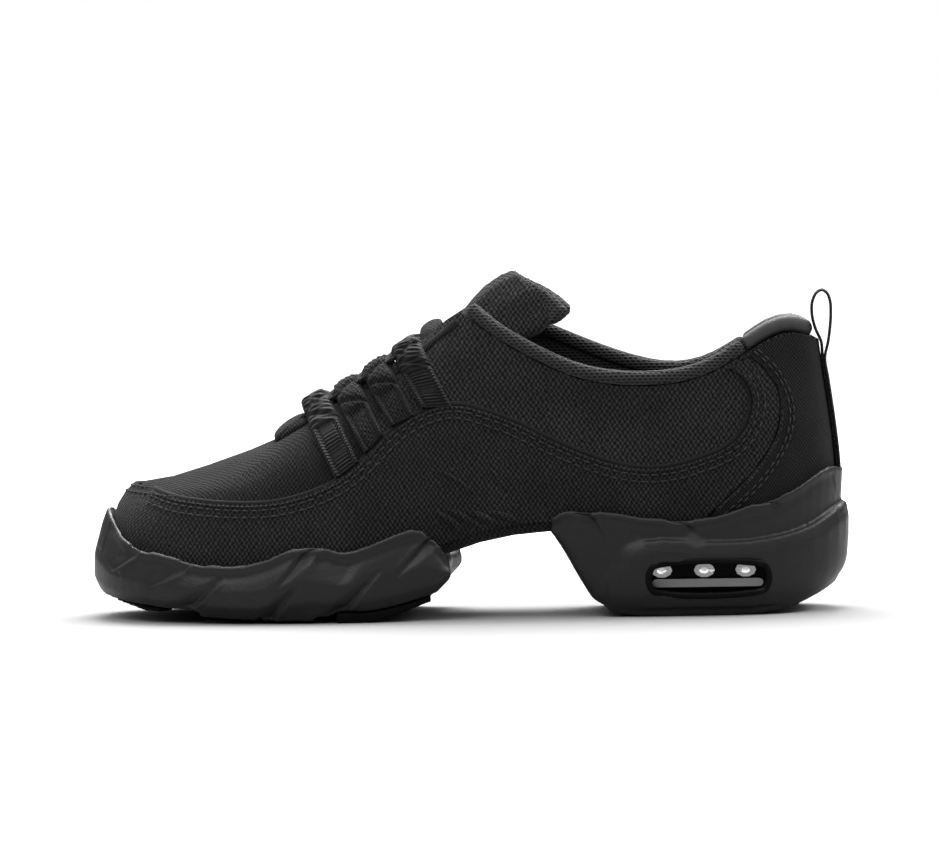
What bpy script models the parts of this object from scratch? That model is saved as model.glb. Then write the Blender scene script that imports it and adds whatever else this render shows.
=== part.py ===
"""Left dance sneaker with a split sole, built in metres with +Z up.

The toe points to -X, the outer side of the foot is -Y and the inner side +Y.
X and Y start at the middle of the heel and Z starts at the floor.
All tables are in millimetres and are turned to metres when a mesh is made.
"""
import bpy
import numpy as np
from math import pi, sin, cos, radians

MM = 0.001
GAP = 0.3
WALL = 2.0
PLATE = 0.9
MARGIN_WIDTH = 13.0
MARGIN_DROP = 3.0
CUP_CLEARANCE = 2.1
LIP = 1.8
ROLL_WIDE = (6.4, 6.4)
ROLL_HIGH = (5.6, 5.6)
TAB_WIDE = (8.6, 6.6)
TAB_HIGH = (6.4, 5.6)
INSOLE_THICKNESS = 3.0
LACE_WIDTH = 4.8
STRAP = 0.9
STRAP_GAP = 0.5
SLOT = 2.7
SLOT_LENGTH = 7.0
LACE_THICKNESS = 1.3
LACE_BUNCHED = 1.9
TAPE_WIDTH = 9.0
TAPE_THICKNESS = 0.8
ARCH_START = 0.355
ARCH_END = 0.50


def table(columns, rows):
    """Named columns from rows of numbers."""
    grid = np.array(rows, float)
    return {name: grid[:, i] for i, name in enumerate(columns.split())}


# Foot line: the edge where the wall turns under, from heel back (0) to toe tip (1).
FOOT = table("u x outer inner z", [
    (0.000, 47.3, 0.0, 0.0, 31.5),
    (0.045, 43.2, 13.0, 13.0, 31.5),
    (0.100, 31.0, 23.5, 23.5, 31.3),
    (0.190, 5.0, 29.8, 29.3, 31.3),
    (0.280, -25.0, 30.8, 28.0, 32.4),
    (0.360, -53.0, 31.5, 25.0, 33.5),
    (0.430, -74.0, 33.5, 24.5, 31.0),
    (0.490, -92.0, 37.0, 28.0, 25.5),
    (0.560, -115.0, 41.5, 35.0, 16.5),
    (0.630, -138.0, 43.0, 40.0, 12.8),
    (0.700, -160.0, 41.0, 41.0, 12.2),
    (0.780, -183.0, 34.5, 38.5, 14.0),
    (0.860, -200.0, 22.5, 31.5, 17.0),
    (0.930, -209.0, 7.0, 21.5, 19.5),
    (1.000, -212.0, -8.0, 8.0, 21.0),
])

# Top edge: the throat opening and the collar, under the padded roll.
TOP = table("u x outer inner z inner_z", [
    (0.000, 42.0, 0.0, 0.0, 97.4, 97.4),
    (0.045, 39.0, 9.5, 9.5, 98.6, 98.6),
    (0.100, 30.0, 16.0, 16.0, 99.2, 99.2),
    (0.145, 19.5, 20.0, 20.0, 93.8, 93.8),
    (0.190, 8.0, 22.5, 22.0, 87.0, 87.2),
    (0.280, -16.0, 25.0, 24.0, 81.6, 83.6),
    (0.360, -42.0, 25.5, 24.5, 84.6, 91.6),
    (0.430, -63.0, 24.5, 23.5, 94.4, 100.4),
    (0.485, -77.0, 21.5, 20.5, 103.6, 106.0),
    (0.520, -84.0, 17.5, 17.0, 108.8, 109.2),
    (0.560, -91.0, 15.0, 14.5, 104.8, 104.8),
    (0.600, -99.0, 13.8, 13.3, 98.0, 98.0),
    (0.660, -112.0, 12.3, 12.0, 88.2, 88.2),
    (0.720, -125.0, 10.8, 10.8, 79.6, 79.6),
    (0.800, -136.5, 8.3, 8.8, 71.6, 71.6),
    (0.900, -142.0, 4.5, 5.0, 68.0, 68.0),
    (1.000, -143.5, -0.3, 0.3, 67.2, 67.2),
])

# How each rib leaves the foot line and arrives at the top edge.
RIB = table("u rise out length steep", [
    (0.00, 22.0, 2.0, 22.0, 84.0),
    (0.10, 20.0, 2.5, 22.0, 82.0),
    (0.19, 20.0, 2.0, 20.0, 78.0),
    (0.28, 18.0, 1.5, 18.0, 76.0),
    (0.36, 18.0, 1.5, 20.0, 74.0),
    (0.43, 20.0, 3.0, 24.0, 70.0),
    (0.49, 24.0, 3.5, 28.0, 64.0),
    (0.56, 28.0, 3.0, 34.0, 55.0),
    (0.63, 29.0, 2.0, 36.0, 47.0),
    (0.70, 29.0, 1.5, 35.0, 40.0),
    (0.78, 30.0, 1.5, 36.0, 32.0),
    (0.86, 32.5, 2.0, 39.0, 26.0),
    (0.93, 35.0, 2.5, 44.0, 21.0),
    (1.00, 37.0, 2.5, 47.0, 19.0),
])

# Upper edge of the forefoot unit and of its flat underside, along the shoe.
FORE = table("x top low", [
    (-212.0, 39.4, 10.6),
    (-211.0, 38.2, 10.1),
    (-209.0, 35.4, 9.0),
    (-205.0, 30.6, 7.9),
    (-199.7, 27.4, 7.0),
    (-190.0, 24.9, 5.7),
    (-178.4, 22.2, 4.6),
    (-169.5, 21.0, 3.6),
    (-160.6, 21.2, 3.0),
    (-151.7, 23.5, 3.0),
    (-145.9, 26.3, 3.3),
    (-139.8, 28.1, 3.8),
    (-135.2, 27.9, 4.0),
    (-131.0, 26.0, 4.0),
    (-126.0, 25.2, 4.0),
    (-118.5, 27.2, 4.0),
    (-109.1, 31.0, 5.6),
    (-100.5, 33.3, 7.9),
    (-97.0, 31.5, 9.0),
    (-93.1, 28.0, 10.4),
    (-90.5, 24.0, 12.4),
    (-88.8, 20.5, 15.0),
])

# Upper edge and underside of the heel unit, along the shoe.
HEEL = table("x top low", [
    (-52.6, 35.2, 31.0),
    (-50.8, 37.2, 28.6),
    (-46.0, 38.3, 20.2),
    (-42.1, 38.3, 13.0),
    (-38.7, 38.1, 7.0),
    (-34.8, 37.8, 4.2),
    (-29.6, 37.4, 3.0),
    (-22.9, 35.9, 2.6),
    (-10.4, 34.9, 2.5),
    (-1.2, 34.8, 2.5),
    (8.5, 36.0, 2.5),
    (18.1, 39.4, 2.6),
    (31.8, 43.8, 4.0),
    (39.3, 49.0, 6.6),
    (44.0, 51.8, 9.6),
    (47.3, 50.6, 12.6),
])

# Underside of the heel's rubber, flat in the middle where it stands.
HEEL_TREAD = table("x z", [
    (-34.0, 2.6),
    (-28.0, 1.1),
    (-22.0, 0.4),
    (-14.0, 0.0),
    (14.0, 0.0),
    (21.0, 0.3),
    (28.0, 1.2),
    (36.0, 3.2),
    (43.0, 6.6),
    (48.0, 9.6),
])

# Edge of the proud lower shell of the heel, along the shoe.
RIDGE = table("x top", [
    (-33.0, 12.0),
    (-31.5, 19.0),
    (-28.0, 23.4),
    (-23.0, 26.0),
    (-16.0, 27.4),
    (-8.0, 27.2),
    (3.8, 26.2),
    (18.0, 26.6),
    (29.4, 28.5),
    (37.3, 31.3),
    (43.0, 35.2),
    (47.3, 38.4),
])

# Front edge of the heel counter, seen from the side.
COUNTER_EDGE = table("z x", [
    (20.0, -4.0),
    (35.0, 3.9),
    (38.5, 7.0),
    (43.0, 12.2),
    (50.0, 19.4),
    (57.0, 24.9),
    (64.8, 28.9),
    (71.6, 30.1),
    (77.3, 29.8),
    (83.7, 27.1),
    (89.2, 22.2),
    (93.0, 17.6),
    (101.0, 9.0),
])

# Centre line and width of the tongue.
TONGUE = table("t x z half drop sweep thick", [
    (0.00, -150.0, 57.0, 13.0, 4.0, 0.0, 1.6),
    (0.14, -138.0, 65.6, 15.0, 6.0, 0.0, 2.0),
    (0.28, -125.0, 75.0, 16.5, 8.0, 0.0, 2.4),
    (0.42, -111.0, 85.4, 17.5, 10.0, 0.5, 2.8),
    (0.56, -98.0, 95.2, 18.3, 12.5, 1.5, 3.2),
    (0.70, -86.0, 104.6, 18.8, 15.5, 3.5, 3.8),
    (0.82, -77.0, 114.2, 18.0, 18.0, 8.5, 4.8),
    (0.93, -69.5, 119.2, 17.4, 17.0, 15.5, 5.6),
    (1.00, -64.8, 120.6, 16.8, 13.5, 18.5, 6.0),
])


def smooth(knots, values):
    """Smooth curve through rows that do not close."""
    k = np.array(knots, float)
    v = np.array(values, float)
    slope = np.diff(v) / np.diff(k)
    tangent = np.empty(len(v))
    tangent[0] = slope[0]
    tangent[-1] = slope[-1]
    tangent[1:-1] = (slope[:-1] + slope[1:]) / 2

    def at(x):
        x = np.clip(np.asarray(x, float), k[0], k[-1])
        i = np.clip(np.searchsorted(k, x, side="right") - 1, 0, len(k) - 2)
        w = k[i + 1] - k[i]
        t = (x - k[i]) / w
        a = (2 * t**3 - 3 * t**2 + 1) * v[i] + (t**3 - 2 * t**2 + t) * w * tangent[i]
        b = (3 * t**2 - 2 * t**3) * v[i + 1] + (t**3 - t**2) * w * tangent[i + 1]
        return a + b
    return at


def ring_curve(knots, outer, inner):
    """Smooth closed curve round the shoe: outer side 0 to 1, inner side 1 to 2."""
    k = np.concatenate([knots, 2 - knots[-2:0:-1]])
    v = np.concatenate([outer, inner[-2:0:-1]])
    n = len(k)
    width = np.diff(np.append(k, k[0] + 2))
    slope = (np.roll(v, -1) - v) / width
    matrix = np.zeros((n, n))
    right = np.zeros(n)
    for i in range(n):
        matrix[i, i - 1] += width[i - 1]
        matrix[i, i] += 2 * (width[i - 1] + width[i])
        matrix[i, (i + 1) % n] += width[i]
        right[i] = 6 * (slope[i] - slope[i - 1])
    bend = np.linalg.solve(matrix, right)

    def at(s):
        s = np.mod(np.asarray(s, float), 2.0)
        i = np.clip(np.searchsorted(k, s, side="right") - 1, 0, n - 1)
        j = (i + 1) % n
        t = s - k[i]
        first = slope[i] - width[i] * (2 * bend[i] + bend[j]) / 6
        return v[i] + t * first + t**2 * bend[i] / 2 + t**3 * (bend[j] - bend[i]) / (6 * width[i])
    return at


foot_x = ring_curve(FOOT["u"], FOOT["x"], FOOT["x"])
foot_y = ring_curve(FOOT["u"], -FOOT["outer"], FOOT["inner"])
foot_z = ring_curve(FOOT["u"], FOOT["z"], FOOT["z"])
top_x = ring_curve(TOP["u"], TOP["x"], TOP["x"])
top_y = ring_curve(TOP["u"], -TOP["outer"], TOP["inner"])
top_z = ring_curve(TOP["u"], TOP["z"], TOP["inner_z"])
floor_line = smooth(FOOT["x"][::-1], FOOT["z"][::-1])
rib_rise = ring_curve(RIB["u"], RIB["rise"], RIB["rise"])
rib_out = ring_curve(RIB["u"], RIB["out"], RIB["out"])
rib_length = ring_curve(RIB["u"], RIB["length"], RIB["length"])
rib_steep = ring_curve(RIB["u"], RIB["steep"], RIB["steep"])


def stack(x, y, z):
    return np.stack(np.broadcast_arrays(x, y, z), axis=-1)


def unit(v):
    return v / np.linalg.norm(v, axis=-1, keepdims=True)


def foot(s):
    return stack(foot_x(s), foot_y(s), foot_z(s))


def outward(s):
    """Level direction that points away from the shoe at the foot line."""
    d = (foot(np.asarray(s) + 1e-3) - foot(np.asarray(s) - 1e-3))
    return unit(stack(-d[..., 1], d[..., 0], 0.0 * d[..., 0]))


def skin(s, h):
    """Outer face of the upper: s runs round the shoe, h climbs from foot line to top edge."""
    s, h = np.broadcast_arrays(np.asarray(s, float), np.asarray(h, float))
    low = foot(s)
    top = stack(top_x(s), top_y(s), top_z(s))
    flat = (low - top) * np.array([1.0, 1.0, 0.0])
    flat = unit(flat)
    steep = np.radians(rib_steep(s))[..., None]
    up = np.array([0.0, 0.0, 1.0])
    low_handle = low + outward(s) * rib_out(s)[..., None] + up * rib_rise(s)[..., None]
    top_handle = top + (flat * np.cos(steep) - up * np.sin(steep)) * rib_length(s)[..., None]
    h = h[..., None]
    g = 1 - h
    return g**3 * low + 3 * g**2 * h * low_handle + 3 * g * h**2 * top_handle + h**3 * top


def skin_normal(s, h):
    s, h = np.broadcast_arrays(np.asarray(s, float), np.asarray(h, float))
    e = 1e-3
    along = skin(s + e, h) - skin(s - e, h)
    climb = skin(s, h + e) - skin(s, h - e)
    return unit(np.cross(climb, along))


def layer(s, h, off):
    """Point at a distance outside the upper."""
    return skin(s, h) + skin_normal(s, h) * np.asarray(off, float)[..., None]


def locate(x, z, inner):
    """Place on the skin (s, h) that is seen at x, z from the side."""
    x = np.asarray(x, float)
    z = np.asarray(z, float)
    us = np.linspace(0.02, 0.97, 96)
    hs = np.linspace(0.0, 1.0, 41)
    su, hh = np.meshgrid(us, hs, indexing="ij")
    ss = 2 - su if inner else su
    pts = skin(ss, hh)
    out_s = np.empty(x.shape)
    out_h = np.empty(x.shape)
    for index in np.ndindex(x.shape):
        d = (pts[..., 0] - x[index])**2 + (pts[..., 2] - z[index])**2
        a, b = np.unravel_index(np.argmin(d), d.shape)
        s = ss[a, b]
        h = hh[a, b]
        for _ in range(8):
            p = skin(s, h)
            ds = (skin(s + 1e-4, h) - p) / 1e-4
            dh = (skin(s, h + 1e-4) - p) / 1e-4
            det = ds[0] * dh[2] - ds[2] * dh[0]
            rx = x[index] - p[0]
            rz = z[index] - p[2]
            if abs(det) < 1e-6:
                break
            s += np.clip((rx * dh[2] - rz * dh[0]) / det, -0.02, 0.02)
            h += np.clip((ds[0] * rz - ds[2] * rx) / det, -0.05, 0.05)
            h = np.clip(h, 0.0, 1.0)
        out_s[index] = s
        out_h[index] = h
    return out_s, out_h


def u_at(x):
    """Share of the way from heel to toe whose foot line is at x."""
    us = np.linspace(0, 1, 2001)
    return np.interp(-np.asarray(x, float), -foot_x(us), us)


def height_on_rib(s, curve):
    """Lowest h on each rib where the skin reaches the side curve z = curve(x)."""
    hs = np.linspace(0, 1, 401)
    out = []
    for value in np.atleast_1d(s):
        p = skin(value, hs)
        above = p[:, 2] - curve(p[:, 0])
        hit = np.nonzero(above >= 0)[0]
        if len(hit) == 0:
            out.append(1.0)
        elif hit[0] == 0:
            out.append(0.0)
        else:
            i = hit[0]
            out.append(hs[i - 1] + (hs[i] - hs[i - 1]) * -above[i - 1] / (above[i] - above[i - 1]))
    return np.array(out)


def material(name, rgb, rough, specular=0.5, transmission=0.0):
    made = bpy.data.materials.new(name)
    made.use_nodes = True
    made.diffuse_color = (*rgb, 1.0)
    shader = made.node_tree.nodes["Principled BSDF"]
    shader.inputs["Base Color"].default_value = (*rgb, 1.0)
    shader.inputs["Roughness"].default_value = rough
    shader.inputs["Specular IOR Level"].default_value = specular
    shader.inputs["Transmission Weight"].default_value = transmission
    return made


def add_object(name, points, faces, made_material):
    mesh = bpy.data.meshes.new(name)
    mesh.from_pydata([tuple(p * MM) for p in np.asarray(points, float)], [], faces)
    mesh.validate()
    mesh.update()
    obj = bpy.data.objects.new(name, mesh)
    bpy.context.scene.collection.objects.link(obj)
    mesh.materials.append(made_material)
    return obj


def solid(name, front, back, made_material, present=None):
    """Closed body between two grids of points, with rims where the cells end."""
    n, m = front.shape[:2]
    flat = front.reshape(-1, 3)
    other = back.reshape(-1, 3)
    seen = {}
    index = np.empty(n * m, int)
    points = []
    backs = []
    for i, p in enumerate(flat):
        key = tuple(np.round(p, 4))
        if key not in seen:
            seen[key] = len(points)
            points.append(p)
            backs.append(other[i])
        index[i] = seen[key]
    faces = []
    for i in range(n - 1):
        for j in range(m - 1):
            if present is not None and not present[i, j]:
                continue
            ring = [index[i * m + j], index[(i + 1) * m + j],
                    index[(i + 1) * m + j + 1], index[i * m + j + 1]]
            ring = [v for k, v in enumerate(ring) if v != ring[k - 1]]
            if len(set(ring)) >= 3:
                faces.append(ring)
    edges = set()
    for ring in faces:
        for k, v in enumerate(ring):
            edges.add((ring[k - 1], v))
    count = len(points)
    rims = []
    for a, b in edges:
        if (b, a) not in edges:
            rims.append([b, a, a + count, b + count])
    inner_faces = [[v + count for v in reversed(ring)] for ring in faces]
    everything = [[int(v) for v in ring] for ring in faces + inner_faces + rims]
    obj = add_object(name, points + backs, everything, made_material)
    face_outward(obj)
    return obj


def tube(name, rings, made_material):
    """Closed body through a row of closed sections, with a cap at each end."""
    n, m = rings.shape[:2]
    points = list(rings.reshape(-1, 3))
    faces = []
    for i in range(n - 1):
        for j in range(m):
            k = (j + 1) % m
            faces.append([i * m + j, (i + 1) * m + j, (i + 1) * m + k, i * m + k])
    for row, turn in ((0, 1), (n - 1, -1)):
        centre = len(points)
        points.append(rings[row].mean(axis=0))
        for j in range(m):
            pair = [row * m + j, row * m + (j + 1) % m]
            faces.append([centre] + pair[::turn])
    obj = add_object(name, points, faces, made_material)
    face_outward(obj)
    return obj


def face_outward(obj):
    """Turn the faces outward when the body was wound the other way."""
    mesh = obj.data
    mesh.calc_loop_triangles()
    volume = 0.0
    for tri in mesh.loop_triangles:
        a, b, c = (mesh.vertices[v].co for v in tri.vertices)
        volume += a.dot(b.cross(c))
    if volume < 0:
        mesh.flip_normals()
    mesh.update()


def combine(obj, other, operation):
    change = obj.modifiers.new("shape", "BOOLEAN")
    change.operation = operation
    change.solver = "EXACT"
    change.object = other
    bpy.context.view_layer.objects.active = obj
    for item in bpy.context.selected_objects:
        item.select_set(False)
    obj.select_set(True)
    bpy.ops.object.modifier_apply(modifier=change.name)
    bpy.data.objects.remove(other, do_unlink=True)


def stations():
    return np.concatenate([np.linspace(0, 0.12, 6)[:-1], np.linspace(0.12, 0.80, 18)[:-1],
                           np.linspace(0.80, 1.0, 9)])


def underside(s, width, drop):
    """Point under the shoe, in from the foot line."""
    p = foot(s) - outward(s) * np.asarray(width, float)[..., None]
    p[..., 2] = floor_line(p[..., 0]) - np.asarray(drop, float)
    return p


def build_upper(made_material):
    us = stations()
    rows = np.linspace(1, 0, 8)
    halves = []
    for inner in (False, True):
        s = 2 - us if inner else us
        wall = [layer(s, h, 0.0) for h in rows]
        margin = [underside(s, np.full(len(us), w), np.full(len(us), d))
                  for w, d in ((1.6, 2.2), (5.0, MARGIN_DROP), (MARGIN_WIDTH, MARGIN_DROP))]
        halves.append(np.stack(wall + margin, axis=1))
    left, right = halves
    middle = [left[:, -1] * (1 - t) + right[:, -1] * t for t in (0.33, 0.67)]
    face = np.concatenate([left, np.stack(middle, axis=1), right[:, ::-1]], axis=1)
    backs = []
    for inner in (False, True):
        s = 2 - us if inner else us
        wall = [layer(s, h, -WALL) for h in rows[:-1]]
        wall.append(underside(s, np.full(len(us), WALL), np.full(len(us), 0.6)))
        margin = [underside(s, np.full(len(us), w), np.full(len(us), d))
                  for w, d in ((3.0, 1.2), (5.4, 1.2), (MARGIN_WIDTH, 1.2))]
        backs.append(np.stack(wall + margin, axis=1))
    left, right = backs
    middle = [left[:, -1] * (1 - t) + right[:, -1] * t for t in (0.33, 0.67)]
    back = np.concatenate([left, np.stack(middle, axis=1), right[:, ::-1]], axis=1)
    cells = np.ones((len(us) - 1, face.shape[1] - 1), bool)
    first = len(rows) + 2
    centre = (us[:-1] + us[1:]) / 2
    closed = (centre > ARCH_START) & (centre < ARCH_END)
    cells[~closed, first:first + 3] = False
    return solid("upper", face, back, made_material, cells)


def build_insole(made_material):
    us = stations()
    tops = []
    lows = []
    for inner in (False, True):
        s = 2 - us if inner else us
        flat = np.full(len(us), 1.0)
        tops.append([underside(s, 4.2 * flat, -(INSOLE_THICKNESS - 1.0) * flat),
                     underside(s, 5.6 * flat, -(INSOLE_THICKNESS - 0.9) * flat)])
        lows.append([underside(s, 4.6 * flat, 0.7 * flat), underside(s, 5.8 * flat, 0.85 * flat)])
    face = np.stack([tops[0][0], tops[0][1], (tops[0][1] + tops[1][1]) / 2, tops[1][1], tops[1][0]], axis=1)
    back = np.stack([lows[0][0], lows[0][1], (lows[0][1] + lows[1][1]) / 2, lows[1][1], lows[1][0]], axis=1)
    return solid("insole", face, back, made_material)


def cup(name, rows, u_low, u_high, count, flare, made_material):
    """Sole unit that holds the upper: outer chain and inner chain across each station."""
    top = smooth(rows["x"], rows["top"])
    low = smooth(rows["x"], rows["low"])
    us = np.linspace(u_low, u_high, count)
    outer_half = []
    inner_half = []
    for inner in (False, True):
        s = 2 - us if inner else us
        x = foot_x(s)
        rim = top(x)
        floor = low(x)
        h_top = np.maximum(height_on_rib(s, lambda v, c=top: c(v)), 0.012)
        push = outward(s)
        out = [layer(s, h_top, CUP_CLEARANCE) + push * LIP]
        out[0][:, 2] = rim
        base = foot(s)
        for share, key in ((0.78, "shoulder"), (0.45, "side"), (0.16, "edge"), (0.0, "bottom")):
            p = base + push * flare[key]
            p[:, 2] = floor + (rim - floor) * share
            out.append(p)
        p = base - push * 8.0
        p[:, 2] = floor
        out.append(p)
        outer_half.append(out)
        ins = [layer(s, h_top, CUP_CLEARANCE)]
        ins[0][:, 2] = rim - 0.05
        for share in (0.6, 0.25):
            ins.append(layer(s, h_top * share, CUP_CLEARANCE))
        ins.append(base + push * CUP_CLEARANCE)
        ins.append(underside(s, np.full(count, 1.4), np.full(count, 2.2 + GAP)))
        ins.append(underside(s, np.full(count, 5.0), np.full(count, MARGIN_DROP + GAP)))
        for k, p in enumerate(ins):
            p[:, 2] = np.minimum(p[:, 2], rim - 0.05 - 0.25 * k)
        inner_half.append(ins)
    chains = []
    for left, right in (outer_half, inner_half):
        middle = [left[-1] * (1 - t) + right[-1] * t for t in (0.33, 0.67)]
        chains.append(np.stack(left + middle + right[::-1], axis=1))
    return solid(name, chains[0], chains[1], made_material)


FORE_FLARE = {"shoulder": 4.6, "side": 6.2, "edge": 5.6, "bottom": 3.2}
HEEL_FLARE = {"shoulder": 3.6, "side": 2.6, "edge": 2.2, "bottom": 1.2}


def build_guard(made_material):
    """Wide overlay round the toe and sides, up to the collar in front of the counter."""
    edge = smooth([-230, -200, -196, -189.7, -178.7, -165.2, -151.6, -137.7, -128.7, -119.3, -107.4,
                   -93.7, -87.3, -82.7, -66.4, -51.5, -36.3, -16.8, -8.0],
                  [48.4, 47.2, 46.2, 44.2, 42.6, 41.6, 42.1, 45.4, 49.2, 56.1, 67.7,
                   74.9, 76.2, 75.8, 70.2, 62.8, 56.1, 52.2, 53.0])
    rear = table("x z back_z", [
        (-3.0, 54.3, 32.6),
        (2.0, 55.8, 36.0),
        (7.0, 57.6, 40.2),
        (11.4, 59.8, 45.3),
        (15.6, 63.6, 50.6),
        (18.4, 68.2, 57.4),
        (19.9, 73.0, 64.6),
        (20.1, 77.4, 71.6),
        (18.8, 81.4, 77.3),
        (16.0, 84.8, 82.6),
        (12.8, 87.2, 87.4),
        (10.8, 88.2, 91.0),
    ])
    counter = smooth(COUNTER_EDGE["z"], COUNTER_EDGE["x"])
    us = np.concatenate([np.linspace(1.0, 0.80, 10), np.linspace(0.775, 0.245, 17)])
    halves = []
    for inner in (False, True):
        s = 2 - us if inner else us
        h = height_on_rib(s, edge)
        s_up, h_up = locate(rear["x"], rear["z"], inner)
        s_low, h_low = locate(counter(rear["back_z"]) - 1.0, rear["back_z"], inner)
        h_low[0] = 0.02
        upper_s = np.concatenate([s, s_up])
        upper_h = np.minimum(np.concatenate([h, h_up]), 0.985)
        lower_s = np.concatenate([s, s_low])
        lower_h = np.concatenate([np.full(len(s), 0.02), h_low])
        if not inner:
            halves.append([upper_s, upper_h, lower_s, lower_h])
        else:
            halves.append([v[1:] for v in (upper_s, upper_h, lower_s, lower_h)])
    us_, uh, ls, lh = [np.concatenate([a[::-1], b]) for a, b in zip(*halves)]
    share = np.linspace(0, 1, 6)[None, :]
    s = ls[:, None] * (1 - share) + us_[:, None] * share
    h = lh[:, None] * (1 - share) + uh[:, None] * share
    return solid("side_overlay", layer(s, h, np.full(s.shape, GAP + PLATE)),
                 layer(s, h, np.full(s.shape, GAP)), made_material)


def build_counter(made_material):
    edge = smooth(COUNTER_EDGE["z"], COUNTER_EDGE["x"])
    hs = np.linspace(0.02, 0.985, 9)
    us = np.linspace(0.0, 0.30, 301)
    sides = []
    for inner in (False, True):
        ends = []
        for h in hs:
            s = 2 - us if inner else us
            p = skin(s, h)
            keep = np.nonzero(p[:, 0] <= edge(p[:, 2]))[0]
            ends.append(us[keep[0]] if len(keep) else us[-1])
        sides.append(np.array(ends))
    share = np.linspace(-1, 1, 19)[:, None]
    s = np.where(share < 0, share * sides[1][None, :], share * sides[0][None, :])
    h = np.broadcast_to(hs[None, :], s.shape)
    return solid("heel_counter", layer(s, h, np.full(s.shape, GAP + 1.1)),
                 layer(s, h, np.full(s.shape, GAP)), made_material)


def build_roll(name, u_from, u_to, count, wide, high, proud, made_material):
    s = np.linspace(u_from, u_to, count)
    edge = skin(s, 1.0)
    climb = unit(skin(s, 1.0) - skin(s, 0.99))
    along = unit(skin(s + 1e-3, 1.0) - skin(s - 1e-3, 1.0))
    push = unit(np.cross(climb, along))
    climb = unit(np.cross(along, push))
    angles = np.arange(10) * 2 * pi / 10
    rings = []
    wide = wide[0] + (wide[1] - wide[0]) * np.linspace(-1, 1, count)**2
    high = high[0] + (high[1] - high[0]) * np.linspace(-1, 1, count)**2
    proud = proud[0] + (proud[1] - proud[0]) * np.linspace(-1, 1, count)**2
    for a in angles:
        c = np.sign(cos(a)) * abs(cos(a))**0.8
        d = np.sign(sin(a)) * abs(sin(a))**0.8
        across = wide / 2 * c - wide / 2 + proud
        up = GAP + high / 2 + high / 2 * d
        rings.append(edge + push * across[:, None] + climb * up[:, None])
    return tube(name, np.stack(rings, axis=1), made_material)


def build_tongue(made_material):
    ts = np.linspace(0, 1, 13)
    get = {key: smooth(TONGUE["t"], TONGUE[key]) for key in ("x", "z", "half", "drop", "sweep", "thick")}
    vs = np.linspace(-1, 1, 7)
    t, v = np.meshgrid(ts, vs, indexing="ij")

    def surface(t, v):
        return stack(get["x"](t) + get["sweep"](t) * v**2, get["half"](t) * v,
                     get["z"](t) - get["drop"](t) * v**2)
    e = 1e-3
    normal = np.cross(surface(t + e, v) - surface(t - e, v), surface(t, v + e) - surface(t, v - e))
    normal = unit(normal)
    normal[normal[..., 2] < 0] *= -1
    normal[-1] = normal[-2]
    normal[0] = normal[1]
    face = surface(t, v)
    back = face - normal * (get["thick"](t) * (1 - 0.35 * v**4))[..., None]
    return solid("tongue", face, back, made_material)


# Lace loops seen from the side: front and rear x at the throat, rear and front corner at the foot.
LOOPS = table("front rear rear_x rear_z front_x front_z eye", [
    (-139.6, -130.6, -119.6, 57.2, -128.7, 50.2, 0.10),
    (-128.6, -119.8, -110.6, 66.0, -118.0, 58.4, 0.12),
    (-117.4, -109.4, -99.2, 73.0, -108.4, 68.0, 0.12),
    (-107.0, -98.6, -85.4, 76.8, -96.0, 75.0, 0.15),
])


def throat(x):
    """Share of the way round at which the throat edge is at x."""
    us = np.linspace(0.525, 1.0, 951)
    return np.interp(-np.asarray(x, float), -top_x(us), us)


def loop_grid(row, inner, along, across):
    """Places on the skin under a loop; along climbs to the throat, across runs from front to rear."""
    s_foot, h_foot = locate(np.array([row["front_x"], row["rear_x"]]),
                            np.array([row["front_z"], row["rear_z"]]), inner)
    s_top = throat(np.array([row["front"], row["rear"]]))
    if inner:
        s_top = 2 - s_top
    s_low = s_foot[0] * (1 - across) + s_foot[1] * across
    h_low = h_foot[0] * (1 - across) + h_foot[1] * across
    s_high = s_top[0] * (1 - across) + s_top[1] * across
    return s_low * (1 - along) + s_high * along, h_low * (1 - along) + 0.985 * along


def build_loop(name, row, inner, made_material):
    """Webbing strap on the upper that folds back over the lace at the throat."""
    across = np.linspace(0.06, 0.94, 3)
    climb = np.linspace(0, 1, 9)
    s, h = loop_grid(row, inner, climb[:, None], across[None, :])
    line = layer(s, h, 0.0)
    length = np.linalg.norm(np.diff(line[:, 1], axis=0), axis=1).sum()
    ins = list(layer(s, h, STRAP_GAP))
    outs = list(layer(s, h, STRAP_GAP + STRAP))
    up = skin_normal(s, h)[-1]
    run = unit(line[-1] - line[-2])
    run = unit(run - up * np.sum(run * up, axis=1, keepdims=True))
    centre = ins[-1] + up * (STRAP + SLOT / 2) + run * 0.8
    for angle in np.radians([-90, -45, 0, 45, 90]):
        spoke = run * cos(angle) + up * sin(angle)
        ins.append(centre + spoke * (STRAP + SLOT / 2))
        outs.append(centre + spoke * SLOT / 2)
    for back, lift in ((0.5 * SLOT_LENGTH, SLOT), (SLOT_LENGTH, SLOT), (SLOT_LENGTH + 1.8, GAP)):
        s, h = loop_grid(row, inner, 1 - back / length, across)
        ins.append(layer(s, h, STRAP_GAP + STRAP + lift + STRAP))
        outs.append(layer(s, h, STRAP_GAP + STRAP + lift))
    return solid(name, np.stack(ins), np.stack(outs), made_material)


def ribbon(path, ups, wide, thick):
    """Rounded flat section carried along a path."""
    path = np.asarray(path, float)
    run = unit(np.gradient(path, axis=0))
    ups = unit(np.asarray(ups, float) - run * np.sum(np.asarray(ups, float) * run, axis=1, keepdims=True))
    across = np.cross(run, ups)
    corners = [(-0.5, 0.0), (-0.42, -0.5), (0.42, -0.5), (0.5, 0.0), (0.42, 0.5), (-0.42, 0.5)]
    return np.stack([path + across * a * wide + ups * b * thick for a, b in corners], axis=1)


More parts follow.
